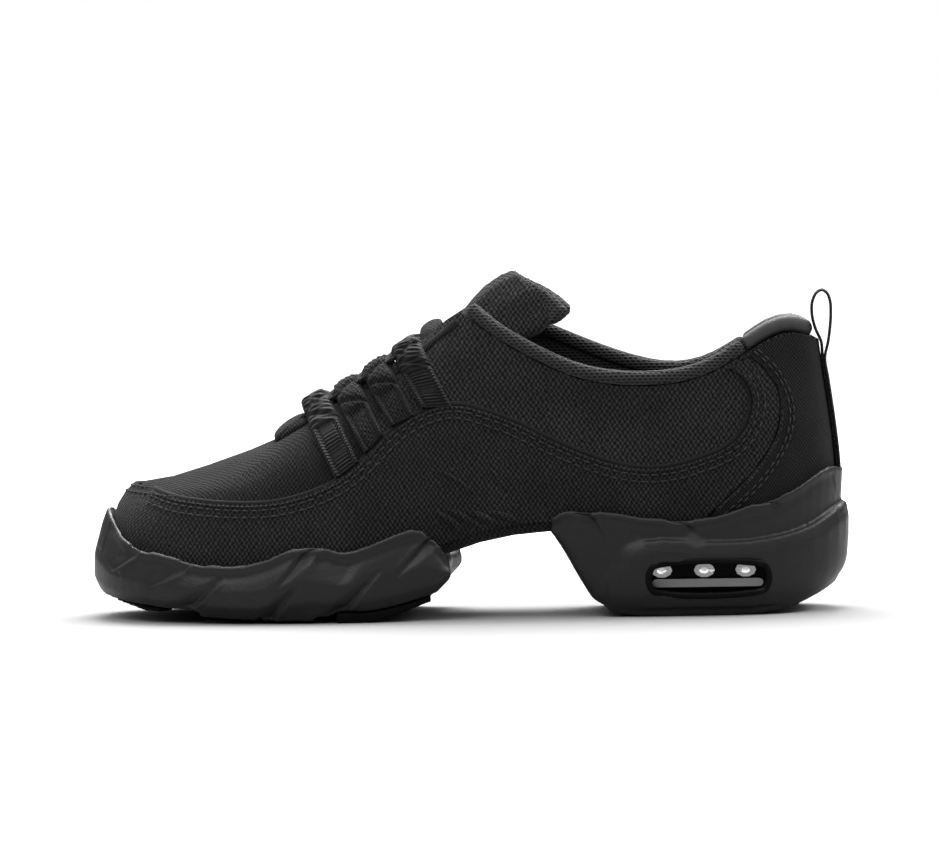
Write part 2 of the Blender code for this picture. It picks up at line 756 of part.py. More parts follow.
def resample(points, count):
    points = np.asarray(points, float)
    gaps = np.linalg.norm(np.diff(points, axis=0), axis=1)
    t = np.concatenate([[0], np.cumsum(gaps)])
    at = np.linspace(0, t[-1], count)
    return np.stack([smooth(t, points[:, k])(at) for k in range(3)], axis=1)


def loop_eye(row, inner, across):
    """Middle of the slot of a lace loop, at a share of its length from front to rear."""
    s, h = loop_grid(row, inner, np.array([0.0, 1.0]), np.array([0.5, 0.5]))
    length = np.linalg.norm(skin(s[1], h[1]) - skin(s[0], h[0]))
    s, h = loop_grid(row, inner, 1 - row["eye"] * SLOT_LENGTH / length, across)
    size = (LACE_BUNCHED, 1.5)
    return np.concatenate([layer(s, h, STRAP_GAP + STRAP + SLOT / 2), skin_normal(s, h), size])


def build_lace(made_material):
    rows = [{k: LOOPS[k][i] for k in LOOPS} for i in range(4)]
    strands = []
    for first in (0, 1):
        points = []
        for i in range(4):
            inner = (first + i) % 2 == 1
            points += [loop_eye(rows[i], inner, share) for share in (-0.1, 0.3, 0.7, 1.1)]
            if i < 3:
                a = points[-1]
                b = loop_eye(rows[i + 1], not inner, -0.1)
                for share, lift, wide in ((0.16, 1.2, 1.9), (0.5, 2.0, LACE_WIDTH), (0.84, 1.2, 1.9)):
                    mid = a * (1 - share) + b * share
                    mid[2] += lift
                    mid[6:] = (wide, LACE_THICKNESS)
                    points.append(mid)
        strands.append(points)
    front = [loop_eye(rows[0], False, share) for share in (0.4, 0.12, -0.15)]
    for v in ((-148.6, -8.6, 71.4, -0.3, -0.2, 1.0), (-152.2, 0.0, 70.2, -0.4, 0.0, 1.0),
              (-148.6, 8.6, 71.4, -0.3, 0.2, 1.0)):
        front.append(np.array(v + (LACE_WIDTH, LACE_THICKNESS)))
    front += [loop_eye(rows[0], True, share) for share in (-0.15, 0.12, 0.4)]
    made = []
    for k, points in enumerate((strands[0], strands[1], front)):
        points = np.array(points)
        knots = np.arange(len(points), dtype=float)
        at = np.arange(0, len(points) - 0.75, 0.5)
        path = np.stack([smooth(knots, points[:, c])(at) for c in range(8)], axis=1)
        made.append(tube("lace" if k == 0 else "lace_part",
                         ribbon(path[:, :3], path[:, 3:6], path[:, 6:7], path[:, 7:8]), made_material))
    combine(made[0], made[1], "UNION")
    combine(made[0], made[2], "UNION")
    return made[0]


def build_pull_loop(made_material):
    back = []
    for z in (52.0, 60.0, 70.0, 80.0, 88.0):
        h = height_on_rib(0.0, lambda v, z=z: np.full(np.shape(v), z))[0]
        p = layer(0.0, h, GAP + 1.1 + GAP + TAPE_THICKNESS / 2)
        back.append((p[0], 0.0, p[2]))
    path = back + [(46.0, 0, 92.5), (46.9, 0, 98.0), (47.8, 0, 105.0), (47.4, 0, 110.5), (46.2, 0, 113.4),
                   (44.6, 0, 114.2), (42.9, 0, 113.2), (41.9, 0, 110.6), (41.8, 0, 106.6),
                   (43.1, 0, 101.0), (44.3, 0, 96.6), (44.7, 0, 94.6)]
    path = resample(path, 22)
    run = unit(np.gradient(path, axis=0))
    side = stack(run[:, 2], 0 * run[:, 0], -run[:, 0])
    rings = []
    for a, b in ((-0.5, -0.5), (0.5, -0.5), (0.5, 0.5), (-0.5, 0.5)):
        rings.append(path + stack(0, a * TAPE_WIDTH, 0) + side * b * TAPE_THICKNESS)
    return tube("pull_loop", np.stack(rings, axis=1), made_material)


def build_pad(name, x_front, x_rear, bottom, inset, made_material):
    """Rubber pad under the forefoot, from side to side."""
    low = smooth(FORE["x"], FORE["low"])
    knots = [x for x in bottom[0] if x_front < x < x_rear]
    xs = np.array([x_front] + knots + [x_rear])
    us = u_at(xs[::-1])
    chain = []
    for inner in (False, True):
        s = 2 - us if inner else us
        base = foot(s)
        push = outward(s)
        chain.append((base + push * (FORE_FLARE["bottom"] - 0.4 - inset), base - push * 4.0))
    rows = [chain[0][0], chain[0][1], (chain[0][1] + chain[1][1]) / 2, chain[1][1], chain[1][0]]
    face = np.stack(rows, axis=1)
    back = face.copy()
    x = foot_x(us)
    face[..., 2] = (low(x) - GAP)[:, None]
    back[..., 2] = np.interp(x, bottom[0], bottom[1])[:, None]
    shrink = np.array([0.985, 1.0, 1.0, 1.0, 0.985])
    back[..., 1] *= shrink[None, :]
    return solid(name, face, back, made_material)


def stadium(centre_x, centre_z, wide, high, y0, y1, count=10):
    """Rounded bar along Y."""
    r = high / 2
    half = wide / 2 - r
    ring = []
    for k in range(count + 1):
        a = -pi / 2 + pi * k / count
        ring.append((centre_x + half + r * cos(a), centre_z + r * sin(a)))
    for k in range(count + 1):
        a = pi / 2 + pi * k / count
        ring.append((centre_x - half + r * cos(a), centre_z + r * sin(a)))
    ring = np.array(ring)
    return np.stack([stack(ring[:, 0], y0, ring[:, 1]), stack(ring[:, 0], y1, ring[:, 1])])


WINDOW = {"x": 3.6, "z": 13.6, "wide": 42.4, "high": 11.7}


def heel_side(s, z, off):
    p = foot(s) + outward(s) * np.asarray(off, float)[..., None]
    p[..., 2] = z
    return p


def build_heel_frame(made_material):
    ridge = smooth(RIDGE["x"], RIDGE["top"])
    low = smooth(HEEL["x"], HEEL["low"])
    u_end = float(u_at(-33.0))
    half = np.concatenate([np.linspace(0, 0.11, 7)[:-1], np.linspace(0.11, u_end, 11)])
    s = np.concatenate([half[::-1], -half[1:]])
    x = foot_x(s)
    top = ridge(x)
    bottom = low(x) + 0.6
    fade = np.clip((x + 36.0) / 16.0, 0.1, 1.0)
    shares = np.array([0.0, 0.22, 0.5, 0.8, 1.0])
    proud = np.array([1.4, 2.3, 2.4, 2.1, 0.9])
    inner_off = np.array([1.9, 2.9, 3.2, 3.7, 3.95])
    face = []
    back = []
    for k, share in enumerate(shares):
        z = bottom + (top - bottom) * share
        face.append(heel_side(s, z, inner_off[k] + 0.4 + proud[k] * fade))
        back.append(heel_side(s, z, np.full(len(s), inner_off[k])))
    return solid("heel_frame", np.stack(face, axis=1), np.stack(back, axis=1), made_material)


def cut_windows(obj, depth):
    for side in (-1.0, 1.0):
        rings = stadium(WINDOW["x"], WINDOW["z"], WINDOW["wide"], WINDOW["high"], side * 60.0, side * depth)
        cutter = tube("window_cut", rings, obj.data.materials[0])
        combine(obj, cutter, "DIFFERENCE")


# Slanted wedge cuts in the sides of the soles: where each starts and ends, its width and depth.
FORE_CUTS = table("x0 z0 x1 z1 wide deep", [
    (-206.0, 21.4, -199.6, 25.4, 1.2, 0.6),
    (-189.6, 16.2, -179.2, 21.4, 1.3, 0.7),
    (-178.8, 6.8, -170.4, 15.3, 1.4, 0.8),
    (-147.0, 14.6, -137.4, 25.2, 1.8, 0.8),
    (-149.4, 4.4, -143.4, 12.3, 1.4, 0.7),
    (-123.2, 5.6, -115.0, 16.1, 1.4, 0.8),
    (-95.6, 28.3, -105.6, 17.6, 1.4, 0.7),
])
HEEL_CUTS = table("x0 z0 x1 z1 wide deep", [
    (-41.0, 34.6, -34.4, 28.9, 1.5, 0.5),
    (-5.0, 32.8, -1.2, 29.5, 1.5, 0.5),
])


def cut_grooves(obj, cuts, flare):
    """Slanted wedge cuts on both sides, following the bulge of the sole."""
    s = np.linspace(0.0, 1.0, 201)
    for inner in (False, True):
        side = 1.0 if inner else -1.0
        around = 2 - s if inner else s
        edge = foot(around) + outward(around) * flare
        order = np.argsort(edge[:, 0])
        for i in range(len(cuts["x0"])):
            a = np.array([cuts["x0"][i], cuts["z0"][i]])
            b = np.array([cuts["x1"][i], cuts["z1"][i]])
            run = (b - a) / np.linalg.norm(b - a)
            across = np.array([-run[1], run[0]]) * cuts["wide"][i] / 2
            ring = [a, a * 0.62 + b * 0.38 + across * 0.8, a * 0.2 + b * 0.8 + across, b,
                    a * 0.2 + b * 0.8 - across, a * 0.62 + b * 0.38 - across * 0.8]
            share = np.array([0.1, 0.7, 1.0, 0.6, 1.0, 0.7])
            x = np.array([p[0] for p in ring])
            z = np.array([p[1] for p in ring])
            y = np.abs(np.interp(x, edge[order, 0], edge[order, 1])) - cuts["deep"][i] * share
            rings = np.stack([stack(x, side * 60.0, z), stack(x, side * y, z)])
            cutter = tube("groove_cut", rings, obj.data.materials[0])
            combine(obj, cutter, "DIFFERENCE")


def build_cushion(name, side, made_material):
    """Clear insert behind a window: a back plate with a long bar and three cut studs."""
    y_back = side * (POCKET + GAP)
    y_plate = side * (POCKET + 2.4)
    y_bar = side * (POCKET + 5.0)
    y_stud = side * (POCKET + 4.6)
    plate = tube(name, stadium(WINDOW["x"], WINDOW["z"], WINDOW["wide"] - 2 * GAP, WINDOW["high"] - 2 * GAP,
                               y_back, y_plate), made_material)
    bar = tube("bar", stadium(WINDOW["x"] - 0.6, 11.6, 39.6, 2.9, side * (POCKET + 1.5), y_bar, 6), made_material)
    combine(plate, bar, "UNION")
    for x in (-13.0, 1.9, 16.8):
        rings = []
        for y, r in ((side * (POCKET + 1.5), 2.7), (side * (POCKET + 3.4), 2.7), (y_stud, 1.6)):
            ring = [(x + r * 1.05 * cos(pi * k / 4 + pi / 8), 15.9 + r * 0.72 * sin(pi * k / 4 + pi / 8))
                    for k in range(8)]
            ring = np.array(ring)
            rings.append(stack(ring[:, 0], y, ring[:, 1]))
        stud = tube("stud", np.stack(rings), made_material)
        combine(plate, stud, "UNION")
    return plate


POCKET = 24.0


def build_heel_outsole(made_material):
    low = smooth(HEEL["x"], HEEL["low"])
    xs = np.array([-32.5, -28.0, -22.0, -14.0, 0.0, 14.0, 21.0, 28.0])
    us = np.concatenate([np.linspace(0, 0.105, 7), u_at(xs)[::-1]])
    chain = []
    for inner in (False, True):
        s = 2 - us if inner else us
        base = foot(s)
        push = outward(s)
        chain.append((base + push * 1.8, base - push * 8.0))
    rows = [chain[0][0], chain[0][1], (chain[0][1] + chain[1][1]) / 2, chain[1][1], chain[1][0]]
    face = np.stack(rows, axis=1)
    back = face.copy()
    x = face[..., 0]
    station = foot_x(us)[:, None]
    face[..., 2] = np.broadcast_to(low(station) - GAP, x.shape)
    back[..., 2] = np.broadcast_to(np.interp(station, HEEL_TREAD["x"], HEEL_TREAD["z"]), x.shape)
    return solid("heel_outsole", face, back, made_material)


def build_binding(name, inner, made_material):
    us = np.linspace(0.505, 0.576, 6)
    s = 2 - us if inner else us
    s = np.repeat(s[:, None], 3, axis=1)
    h = np.broadcast_to(np.array([0.945, 0.97, 0.995])[None, :], s.shape)
    return solid(name, layer(s, h, np.full(s.shape, STRAP_GAP + PLATE)),
                 layer(s, h, np.full(s.shape, STRAP_GAP)), made_material)


def main():
    for obj in list(bpy.data.objects):
        bpy.data.objects.remove(obj, do_unlink=True)
    canvas = material("canvas", (0.018, 0.018, 0.019), 0.9, 0.3)
    weave = material("coarse_weave", (0.022, 0.022, 0.023), 0.85, 0.3)
    knit = material("knit", (0.03, 0.03, 0.032), 0.85, 0.3)
    webbing = material("webbing", (0.03, 0.03, 0.031), 0.8, 0.3)
    smooth_patch = material("smooth_patch", (0.03, 0.03, 0.031), 0.55, 0.4)
    foam = material("sole_foam", (0.028, 0.028, 0.03), 0.62, 0.4)
    shell = material("heel_shell", (0.03, 0.03, 0.032), 0.5, 0.45)
    rubber = material("outsole_rubber", (0.014, 0.014, 0.015), 0.7, 0.4)
    lining = material("insole_cloth", (0.02, 0.02, 0.022), 0.9, 0.3)
    clear = material("clear_plastic", (0.75, 0.76, 0.78), 0.08, 0.6, 0.6)

    build_upper(canvas)
    build_insole(lining)
    build_tongue(canvas)
    fore = cup("forefoot_midsole", FORE, float(u_at(-88.8)), 1.0, 36, FORE_FLARE, foam)
    cut_grooves(fore, FORE_CUTS, 5.2)
    heel = cup("heel_midsole", HEEL, 0.0, float(u_at(-52.6)), 26, HEEL_FLARE, foam)
    cut_grooves(heel, HEEL_CUTS, 3.4)
    cut_windows(heel, POCKET)
    frame = build_heel_frame(shell)
    cut_windows(frame, POCKET)
    build_cushion("cushion_outer", -1.0, clear)
    build_cushion("cushion_inner", 1.0, clear)
    build_heel_outsole(rubber)
    pads = (
        ("toe_pad", -208.0, -191.0, [(-212, 8.4), (-208, 6.9), (-197, 4.2), (-190, 4.0)], 0.6),
        ("ball_pad_front", -177.0, -156.3, [(-180, 2.9), (-175, 2.4), (-165, 1.8), (-156, 1.4)], 0.0),
        ("ball_pad_rear", -154.6, -137.0, [(-155, 1.1), (-146, 0.8), (-138, 0.8), (-136, 1.6)], 0.0),
        ("rear_pad", -128.6, -95.5, [(-129, 0.0), (-116, 0.0), (-111, 1.4), (-105, 3.3), (-99, 5.8), (-95, 7.2)], 0.0),
    )
    for name, x0, x1, rows, inset in pads:
        build_pad(name, x0, x1, np.array(rows).T, inset, rubber)
    build_guard(weave)
    build_counter(canvas)
    build_binding("throat_binding_outer", False, smooth_patch)
    build_binding("throat_binding_inner", True, smooth_patch)
    build_roll("collar_roll_outer", 0.512, 0.150, 19, ROLL_WIDE, ROLL_HIGH, (1.4, 1.4), knit)
    build_roll("collar_roll_inner", 2 - 0.150, 2 - 0.512, 19, ROLL_WIDE, ROLL_HIGH, (1.4, 1.4), knit)
    build_roll("heel_tab", 0.148, -0.148, 17, TAB_WIDE, TAB_HIGH, (0.2, 1.4), smooth_patch)
    rows = [{k: LOOPS[k][i] for k in LOOPS} for i in range(4)]
    for i, row in enumerate(rows):
        build_loop("lace_loop_outer_%d" % (i + 1), row, False, webbing)
        build_loop("lace_loop_inner_%d" % (i + 1), row, True, webbing)
    build_lace(webbing)
    build_pull_loop(webbing)


if __name__ == "__main__":
    main()
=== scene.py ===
"""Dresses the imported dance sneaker: cloth, knit, webbing, moulded soles and a pale studio floor."""
import bpy
import bmesh
import numpy as np
from math import pi, sin, cos, radians
from mathutils import Vector, Matrix
from mathutils.bvhtree import BVHTree


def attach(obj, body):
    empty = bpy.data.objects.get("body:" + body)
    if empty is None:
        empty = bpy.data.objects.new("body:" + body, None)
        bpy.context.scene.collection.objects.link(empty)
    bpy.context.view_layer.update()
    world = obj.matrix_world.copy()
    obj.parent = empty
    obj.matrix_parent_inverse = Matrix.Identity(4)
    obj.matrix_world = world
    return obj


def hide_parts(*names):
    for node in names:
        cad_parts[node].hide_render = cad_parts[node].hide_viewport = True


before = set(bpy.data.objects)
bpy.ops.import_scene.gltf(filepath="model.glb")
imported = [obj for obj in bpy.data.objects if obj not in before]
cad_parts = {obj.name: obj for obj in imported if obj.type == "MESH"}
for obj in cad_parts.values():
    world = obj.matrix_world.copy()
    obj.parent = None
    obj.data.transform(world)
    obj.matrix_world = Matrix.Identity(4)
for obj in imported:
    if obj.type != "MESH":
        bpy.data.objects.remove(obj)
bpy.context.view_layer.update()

bl_info = {
    "name": "Dance sneaker",
    "version": (1, 0, 0),
    "blender": (4, 5, 0),
    "location": "View3D > Sidebar > Sneaker",
    "description": "Builds the visible pieces and finishes of a split sole dance sneaker",
    "category": "Object",
}

MM = 0.001


class ShoeFinish(bpy.types.PropertyGroup):
    """Colours of the cloths and mouldings."""
    cloth: bpy.props.FloatVectorProperty(
        name="Cloth", description="Colour of the canvas", subtype="COLOR", size=3,
        default=(0.0076, 0.0076, 0.0078), min=0.0, max=1.0)
    overlay: bpy.props.FloatVectorProperty(
        name="Overlay", description="Colour of the coarse overlay cloth", subtype="COLOR", size=3,
        default=(0.0066, 0.0066, 0.0068), min=0.0, max=1.0)
    knit: bpy.props.FloatVectorProperty(
        name="Knit", description="Colour of the padded mesh roll", subtype="COLOR", size=3,
        default=(0.021, 0.021, 0.0215), min=0.0, max=1.0)
    webbing: bpy.props.FloatVectorProperty(
        name="Webbing", description="Colour of loops and lace", subtype="COLOR", size=3,
        default=(0.0054, 0.0054, 0.0056), min=0.0, max=1.0)
    moulding: bpy.props.FloatVectorProperty(
        name="Moulding", description="Colour of the sole mouldings", subtype="COLOR", size=3,
        default=(0.0058, 0.0058, 0.0060), min=0.0, max=1.0)


class ShoeSizes(bpy.types.PropertyGroup):
    """Sizes of the fine work."""
    weave_pitch: bpy.props.FloatProperty(
        name="Weave pitch", description="Distance between canvas threads", subtype="DISTANCE",
        unit="LENGTH", default=1.8 * MM, min=0.2 * MM)
    stitch_length: bpy.props.FloatProperty(
        name="Stitch length", description="Length of one stitch", subtype="DISTANCE",
        unit="LENGTH", default=2.6 * MM, min=0.5 * MM)


class StageSettings(bpy.types.PropertyGroup):
    """Camera and light."""
    azimuth: bpy.props.FloatProperty(
        name="Azimuth", description="Camera's turn towards the heel", subtype="ANGLE", default=radians(3.0))
    elevation: bpy.props.FloatProperty(
        name="Elevation", description="Camera's height angle", subtype="ANGLE", default=radians(3.0))
    roll: bpy.props.FloatProperty(
        name="Roll", description="Camera's roll", subtype="ANGLE", default=radians(1.0))
    lens: bpy.props.FloatProperty(
        name="Lens", description="Focal length in millimetres", default=300.0, min=10.0)
    view_width: bpy.props.FloatProperty(
        name="View width", description="Width seen at the shoe", subtype="DISTANCE", unit="LENGTH",
        default=338.0 * MM)


def finish():
    return bpy.context.scene.shoe_finish


def sizes():
    return bpy.context.scene.shoe_sizes


def preset(node, **values):
    """Fixed values of a node's inputs; an underscore stands for a space."""
    for key, value in values.items():
        node.inputs[key.replace("_", " ")].default_value = value
    return node


class Nodes:
    """Short hand for building a material's node tree."""

    def __init__(self, name, color, rough):
        self.material = bpy.data.materials.new(name)
        self.material.use_nodes = True
        self.tree = self.material.node_tree
        self.shader = self.tree.nodes["Principled BSDF"]
        self.set(Base_Color=(*color, 1.0), Roughness=rough)
        self.material.diffuse_color = (*color, 1.0)

    def set(self, **values):
        preset(self.shader, **values)

    def add(self, kind, **settings):
        node = self.tree.nodes.new(kind)
        for key, value in settings.items():
            setattr(node, key, value)
        return node

    def join(self, value, socket):
        if isinstance(value, (int, float)):
            socket.default_value = value
        else:
            self.tree.links.new(value, socket)

    def math(self, operation, a, b=0.0, clamp=False):
        node = self.add("ShaderNodeMath", operation=operation, use_clamp=clamp)
        self.join(a, node.inputs[0])
        self.join(b, node.inputs[1])
        return node.outputs[0]

    def mul(self, a, b, clamp=False):
        return self.math("MULTIPLY", a, b, clamp)

    def plus(self, a, b):
        return self.math("ADD", a, b)

    def place(self, source="Object"):
        """x, y and z of the point, in metres."""
        coord = self.add("ShaderNodeTexCoord")
        split = self.add("ShaderNodeSeparateXYZ")
        self.tree.links.new(coord.outputs[source], split.inputs[0])
        return split.outputs

    def noise(self, scale, detail=2.0, rough=0.5):
        coord = self.add("ShaderNodeTexCoord")
        node = preset(self.add("ShaderNodeTexNoise"), Scale=scale, Detail=detail, Roughness=rough)
        self.tree.links.new(coord.outputs["Object"], node.inputs["Vector"])
        return node.outputs["Fac"]

    def wave(self, value, pitch):
        return self.math("SINE", self.mul(value, 2 * pi / pitch))

    def blended(self, pattern, wander=0.0):
        """Pattern laid from the side, from above and from the end, by how the surface faces."""
        x, y, z = self.place()
        if wander:
            x = self.plus(x, self.mul(self.noise(420.0, 1.0), wander))
            z = self.plus(z, self.mul(self.noise(370.0, 1.0), wander))
        nx, ny, nz = self.place("Normal")
        total = None
        weight_sum = None
        for (a, b), n in (((x, z), ny), ((x, y), nz), ((y, z), nx)):
            weight = self.math("POWER", self.math("ABSOLUTE", n), 4.0)
            part = self.mul(pattern(a, b), weight)
            total = part if total is None else self.plus(total, part)
            weight_sum = weight if weight_sum is None else self.plus(weight_sum, weight)
        return self.math("DIVIDE", total, weight_sum)

    def shade(self, low, high, factor):
        """Base colour between two colours."""
        mix = self.add("ShaderNodeMix", data_type="RGBA")
        mix.inputs["A"].default_value = (*low, 1.0)
        mix.inputs["B"].default_value = (*high, 1.0)
        self.join(factor, mix.inputs["Factor"])
        self.tree.links.new(mix.outputs["Result"], self.shader.inputs["Base Color"])

    def bump(self, height, distance):
        node = preset(self.add("ShaderNodeBump"), Strength=1.0, Distance=distance)
        self.join(height, node.inputs["Height"])
        self.tree.links.new(node.outputs[0], self.shader.inputs["Normal"])

    def rough_between(self, low, high, factor):
        node = preset(self.add("ShaderNodeMapRange"), To_Min=low, To_Max=high)
        self.join(factor, node.inputs["Value"])
        self.tree.links.new(node.outputs[0], self.shader.inputs["Roughness"])


def darker(color, share):
    return tuple(c * share for c in color)


WEAVE_STRETCH = 1.4


def woven_cloth(name, color, pitch, depth, sheen):
    """Canvas whose threads show as small raised dots; the dots' tops are painted lighter and the gaps between them
    darker, as painted highlight and painted shade.
    """
    made = Nodes(name, color, 0.88)
    made.set(Specular_IOR_Level=0.10, Sheen_Weight=sheen, Sheen_Roughness=0.45)

    def pattern(a, b):
        product = made.mul(made.wave(a, pitch), made.wave(b, pitch * WEAVE_STRETCH))
        return made.plus(made.mul(product, 0.5), 0.5)
    threads = made.blended(pattern, pitch * 0.9)
    fuzz = made.noise(1400.0, 3.0, 0.7)
    cloud = made.noise(60.0, 2.0)
    height = made.plus(made.mul(threads, 0.8), made.mul(fuzz, 0.35))
    # Colour follows the threads' height: painted highlight on the raised dots, painted shade between them.
    shade = made.mul(height, made.plus(made.mul(cloud, 0.5), 0.75), clamp=True)
    made.shade(darker(color, 0.08), darker(color, 4.6), made.math("POWER", shade, 2.0))
    made.bump(height, depth)
    return made.material


def moulded(name, color, rough, shine):
    """Moulded foam or rubber with a fine skin texture."""
    made = Nodes(name, color, rough)
    made.set(Specular_IOR_Level=shine)
    fine = made.noise(900.0, 4.0, 0.6)
    broad = made.noise(45.0, 3.0, 0.5)
    made.rough_between(rough - 0.08, rough + 0.12, broad)
    made.shade(darker(color, 0.85), darker(color, 1.25), broad)
    made.bump(fine, 0.00012)
    return made.material


def knitted(name, color):
    """Padded mesh with rows of short slits; the slits are painted near black as painted shade inside them."""
    made = Nodes(name, color, 0.85)
    made.set(Sheen_Weight=0.08, Sheen_Roughness=0.4, Specular_IOR_Level=0.16)

    def pattern(a, b):
        row = made.mul(b, 1 / 0.0011)
        odd = made.math("MODULO", made.math("FLOOR", row), 2.0)
        shifted = made.plus(a, made.mul(odd, 0.00095))
        long = made.math("ABSOLUTE", made.wave(shifted, 0.0038))
        short = made.math("ABSOLUTE", made.math("SINE", made.mul(row, pi)))
        return made.mul(long, short)
    net = made.blended(pattern)
    hole = made.math("GREATER_THAN", net, 0.62)
    height = made.math("SUBTRACT", 1.0, net)
    # The slits get near-black colour as painted shade inside them; the mesh between keeps a lighter tone.
    made.shade(darker(color, 1.6), darker(color, 0.12), hole)
    made.bump(height, 0.0006)
    return made.material


def webbing(name, color):
    """Ribbed tape; ribs follow the piece's own UV map. Rib tops are painted lighter and the valleys darker, as
    painted highlight and painted shade.
    """
    made = Nodes(name, color, 0.75)
    made.set(Sheen_Weight=0.03, Specular_IOR_Level=0.16)
    along = made.place("UV")[1]
    ribs = made.plus(made.mul(made.wave(along, 0.0011), 0.5), 0.5)
    fuzz = made.noise(1500.0, 2.0, 0.6)
    height = made.plus(made.mul(ribs, 0.85), made.mul(fuzz, 0.25))
    # Colour follows the ribs' height: painted highlight on the ribs, painted shade in the valleys between them.
    made.shade(darker(color, 0.2), darker(color, 2.2), height)
    made.bump(height, 0.0005)
    return made.material


def smooth_skin(name, color, rough):
    """Plain skin with a faint grain."""
    made = Nodes(name, color, rough)
    made.set(Specular_IOR_Level=0.3)
    grain = made.noise(700.0, 3.0, 0.6)
    made.bump(grain, 0.0001)
    made.shade(darker(color, 0.9), darker(color, 1.15), grain)
    return made.material


MATERIALS = {}


def materials():
    """Every finish by its key, made once."""
    if MATERIALS:
        return MATERIALS
    f = finish()
    pitch = sizes().weave_pitch
    cloth = tuple(f.cloth)
    tape = tuple(f.webbing)
    foam = tuple(f.moulding)
    for key, name, color, step, depth, sheen in (
            ("quarter", "quarter_canvas", cloth, pitch, 0.0006, 0.05),
            ("vamp", "vamp_canvas", darker(cloth, 0.38), pitch * 0.85, 0.0005, 0.03),
            ("counter", "counter_canvas", darker(cloth, 0.55), pitch * 0.6, 0.00022, 0.03),
            ("overlay", "overlay_cloth", tuple(f.overlay), pitch * 0.95, 0.0006, 0.05),
            ("lining", "insole_lining", (0.012, 0.012, 0.013), 0.0012, 0.0001, 0.05),
            ("cordage", "lace_cord", tape, 0.0013, 0.0005, 0.03)):
        MATERIALS[key] = woven_cloth(name, color, step, depth, sheen)
    for key, name, color, rough in (
            # The heel patch's grey is partly its own smoother skin and partly a painted highlight, lifted to the
            # lighter top it shows.
            ("patch", "patch_skin_with_painted_highlight", (0.026, 0.026, 0.0265), 0.7),
            ("binding", "binding_skin", (0.0035, 0.0035, 0.0037), 0.8),
            ("thread", "sewing_thread", (0.014, 0.014, 0.0145), 0.7),
            # Near-black finish of the seam rods: painted shade along the seams.
            ("shadow", "painted_seam_shade", (0.0025, 0.0025, 0.0026), 0.9)):
        MATERIALS[key] = smooth_skin(name, color, rough)
    for key, name, color, rough, shine in (
            ("foam", "foam_skin", foam, 0.42, 0.30), ("frame", "shell_skin", foam, 0.45, 0.30),
            ("rubber", "tread_rubber", (0.0022, 0.0022, 0.0024), 0.75, 0.08)):
        MATERIALS[key] = moulded(name, color, rough, shine)
    MATERIALS["knit"] = knitted("collar_knit", tuple(f.knit))
    MATERIALS["lining_knit"] = knitted("lining_knit", (0.011, 0.011, 0.0115))
    MATERIALS["webbing"] = webbing("ribbed_webbing", tape)
    for key, name, color, rough, values in (
            ("clear", "clear_cushion", (0.8, 0.81, 0.83), 0.06, {"Transmission_Weight": 0.7, "IOR": 1.5}),
            ("dark_clear", "dark_window", (0.0012, 0.0012, 0.0013), 0.5, {"Specular_IOR_Level": 0.08}),
            ("bar_clear", "window_bar", (0.20, 0.20, 0.205), 0.3, {"Coat_Weight": 0.6}),
            # The studs' faint white glow is a painted glint; they are no lamp.
            ("stud", "window_stud_painted_glint", (0.92, 0.93, 0.94), 0.04,
             {"Metallic": 0.9, "Emission_Color": (1.0, 1.0, 1.0, 1.0), "Emission_Strength": 0.22})):
        made = Nodes(name, color, rough)
        made.set(**values)
        MATERIALS[key] = made.material
    return MATERIALS


CAD_FINISH = {
    "insole": "lining", "upper": "quarter", "tongue": "vamp", "side_overlay": "overlay",
    "heel_counter": "counter", "heel_tab": "patch", "throat_binding_outer": "binding",
    "throat_binding_inner": "binding", "collar_roll_outer": "knit", "collar_roll_inner": "knit",
    "forefoot_midsole": "foam", "heel_midsole": "foam", "heel_frame": "frame", "heel_outsole": "rubber",
    "toe_pad": "rubber", "ball_pad_front": "rubber", "ball_pad_rear": "rubber", "rear_pad": "rubber",
    "cushion_outer": "clear", "cushion_inner": "clear", "lace": "webbing", "pull_loop": "webbing",
}


def node_tree(name):
    """Search tree over one frame node."""
    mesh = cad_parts[name].data
    return BVHTree.FromPolygons([v.co.copy() for v in mesh.vertices], [tuple(p.vertices) for p in mesh.polygons])


WELD = 0.03 * MM


def welded(name):
    """Copy of a frame node with its loose triangles joined up."""
    bm = bmesh.new()
    bm.from_mesh(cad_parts[name].data)
    bmesh.ops.remove_doubles(bm, verts=bm.verts, dist=WELD)
    bmesh.ops.dissolve_degenerate(bm, edges=bm.edges, dist=0.00002)
    bmesh.ops.recalc_face_normals(bm, faces=bm.faces)
    return bm


def merged(first, *others):
    """Copy of one frame node with others added to it."""
    bm = welded(first)
    for name in others:
        bm.from_mesh(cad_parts[name].data)
    bmesh.ops.remove_doubles(bm, verts=bm.verts, dist=WELD)
    return bm


def linked(name, data):
    """New object in the scene."""
    obj = bpy.data.objects.new(name, data)
    bpy.context.scene.collection.objects.link(obj)
    return obj


def place(name, bm, key, nodes=(), angle=40.0, extra=()):
    """Makes the piece, gives it its finish and seats it on the shoe."""
    if angle:
        for edge in bm.edges:
            edge.smooth = not (len(edge.link_faces) == 2 and edge.calc_face_angle(0.0) > radians(angle))
        for face in bm.faces:
            face.smooth = True
    mesh = bpy.data.meshes.new(name)
    bm.to_mesh(mesh)
    bm.free()
    obj = linked(name, mesh)
    for k in (key,) + tuple(extra):
        mesh.materials.append(materials()[k])
    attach(obj, "root")
    if nodes:
        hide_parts(*nodes)
    return obj


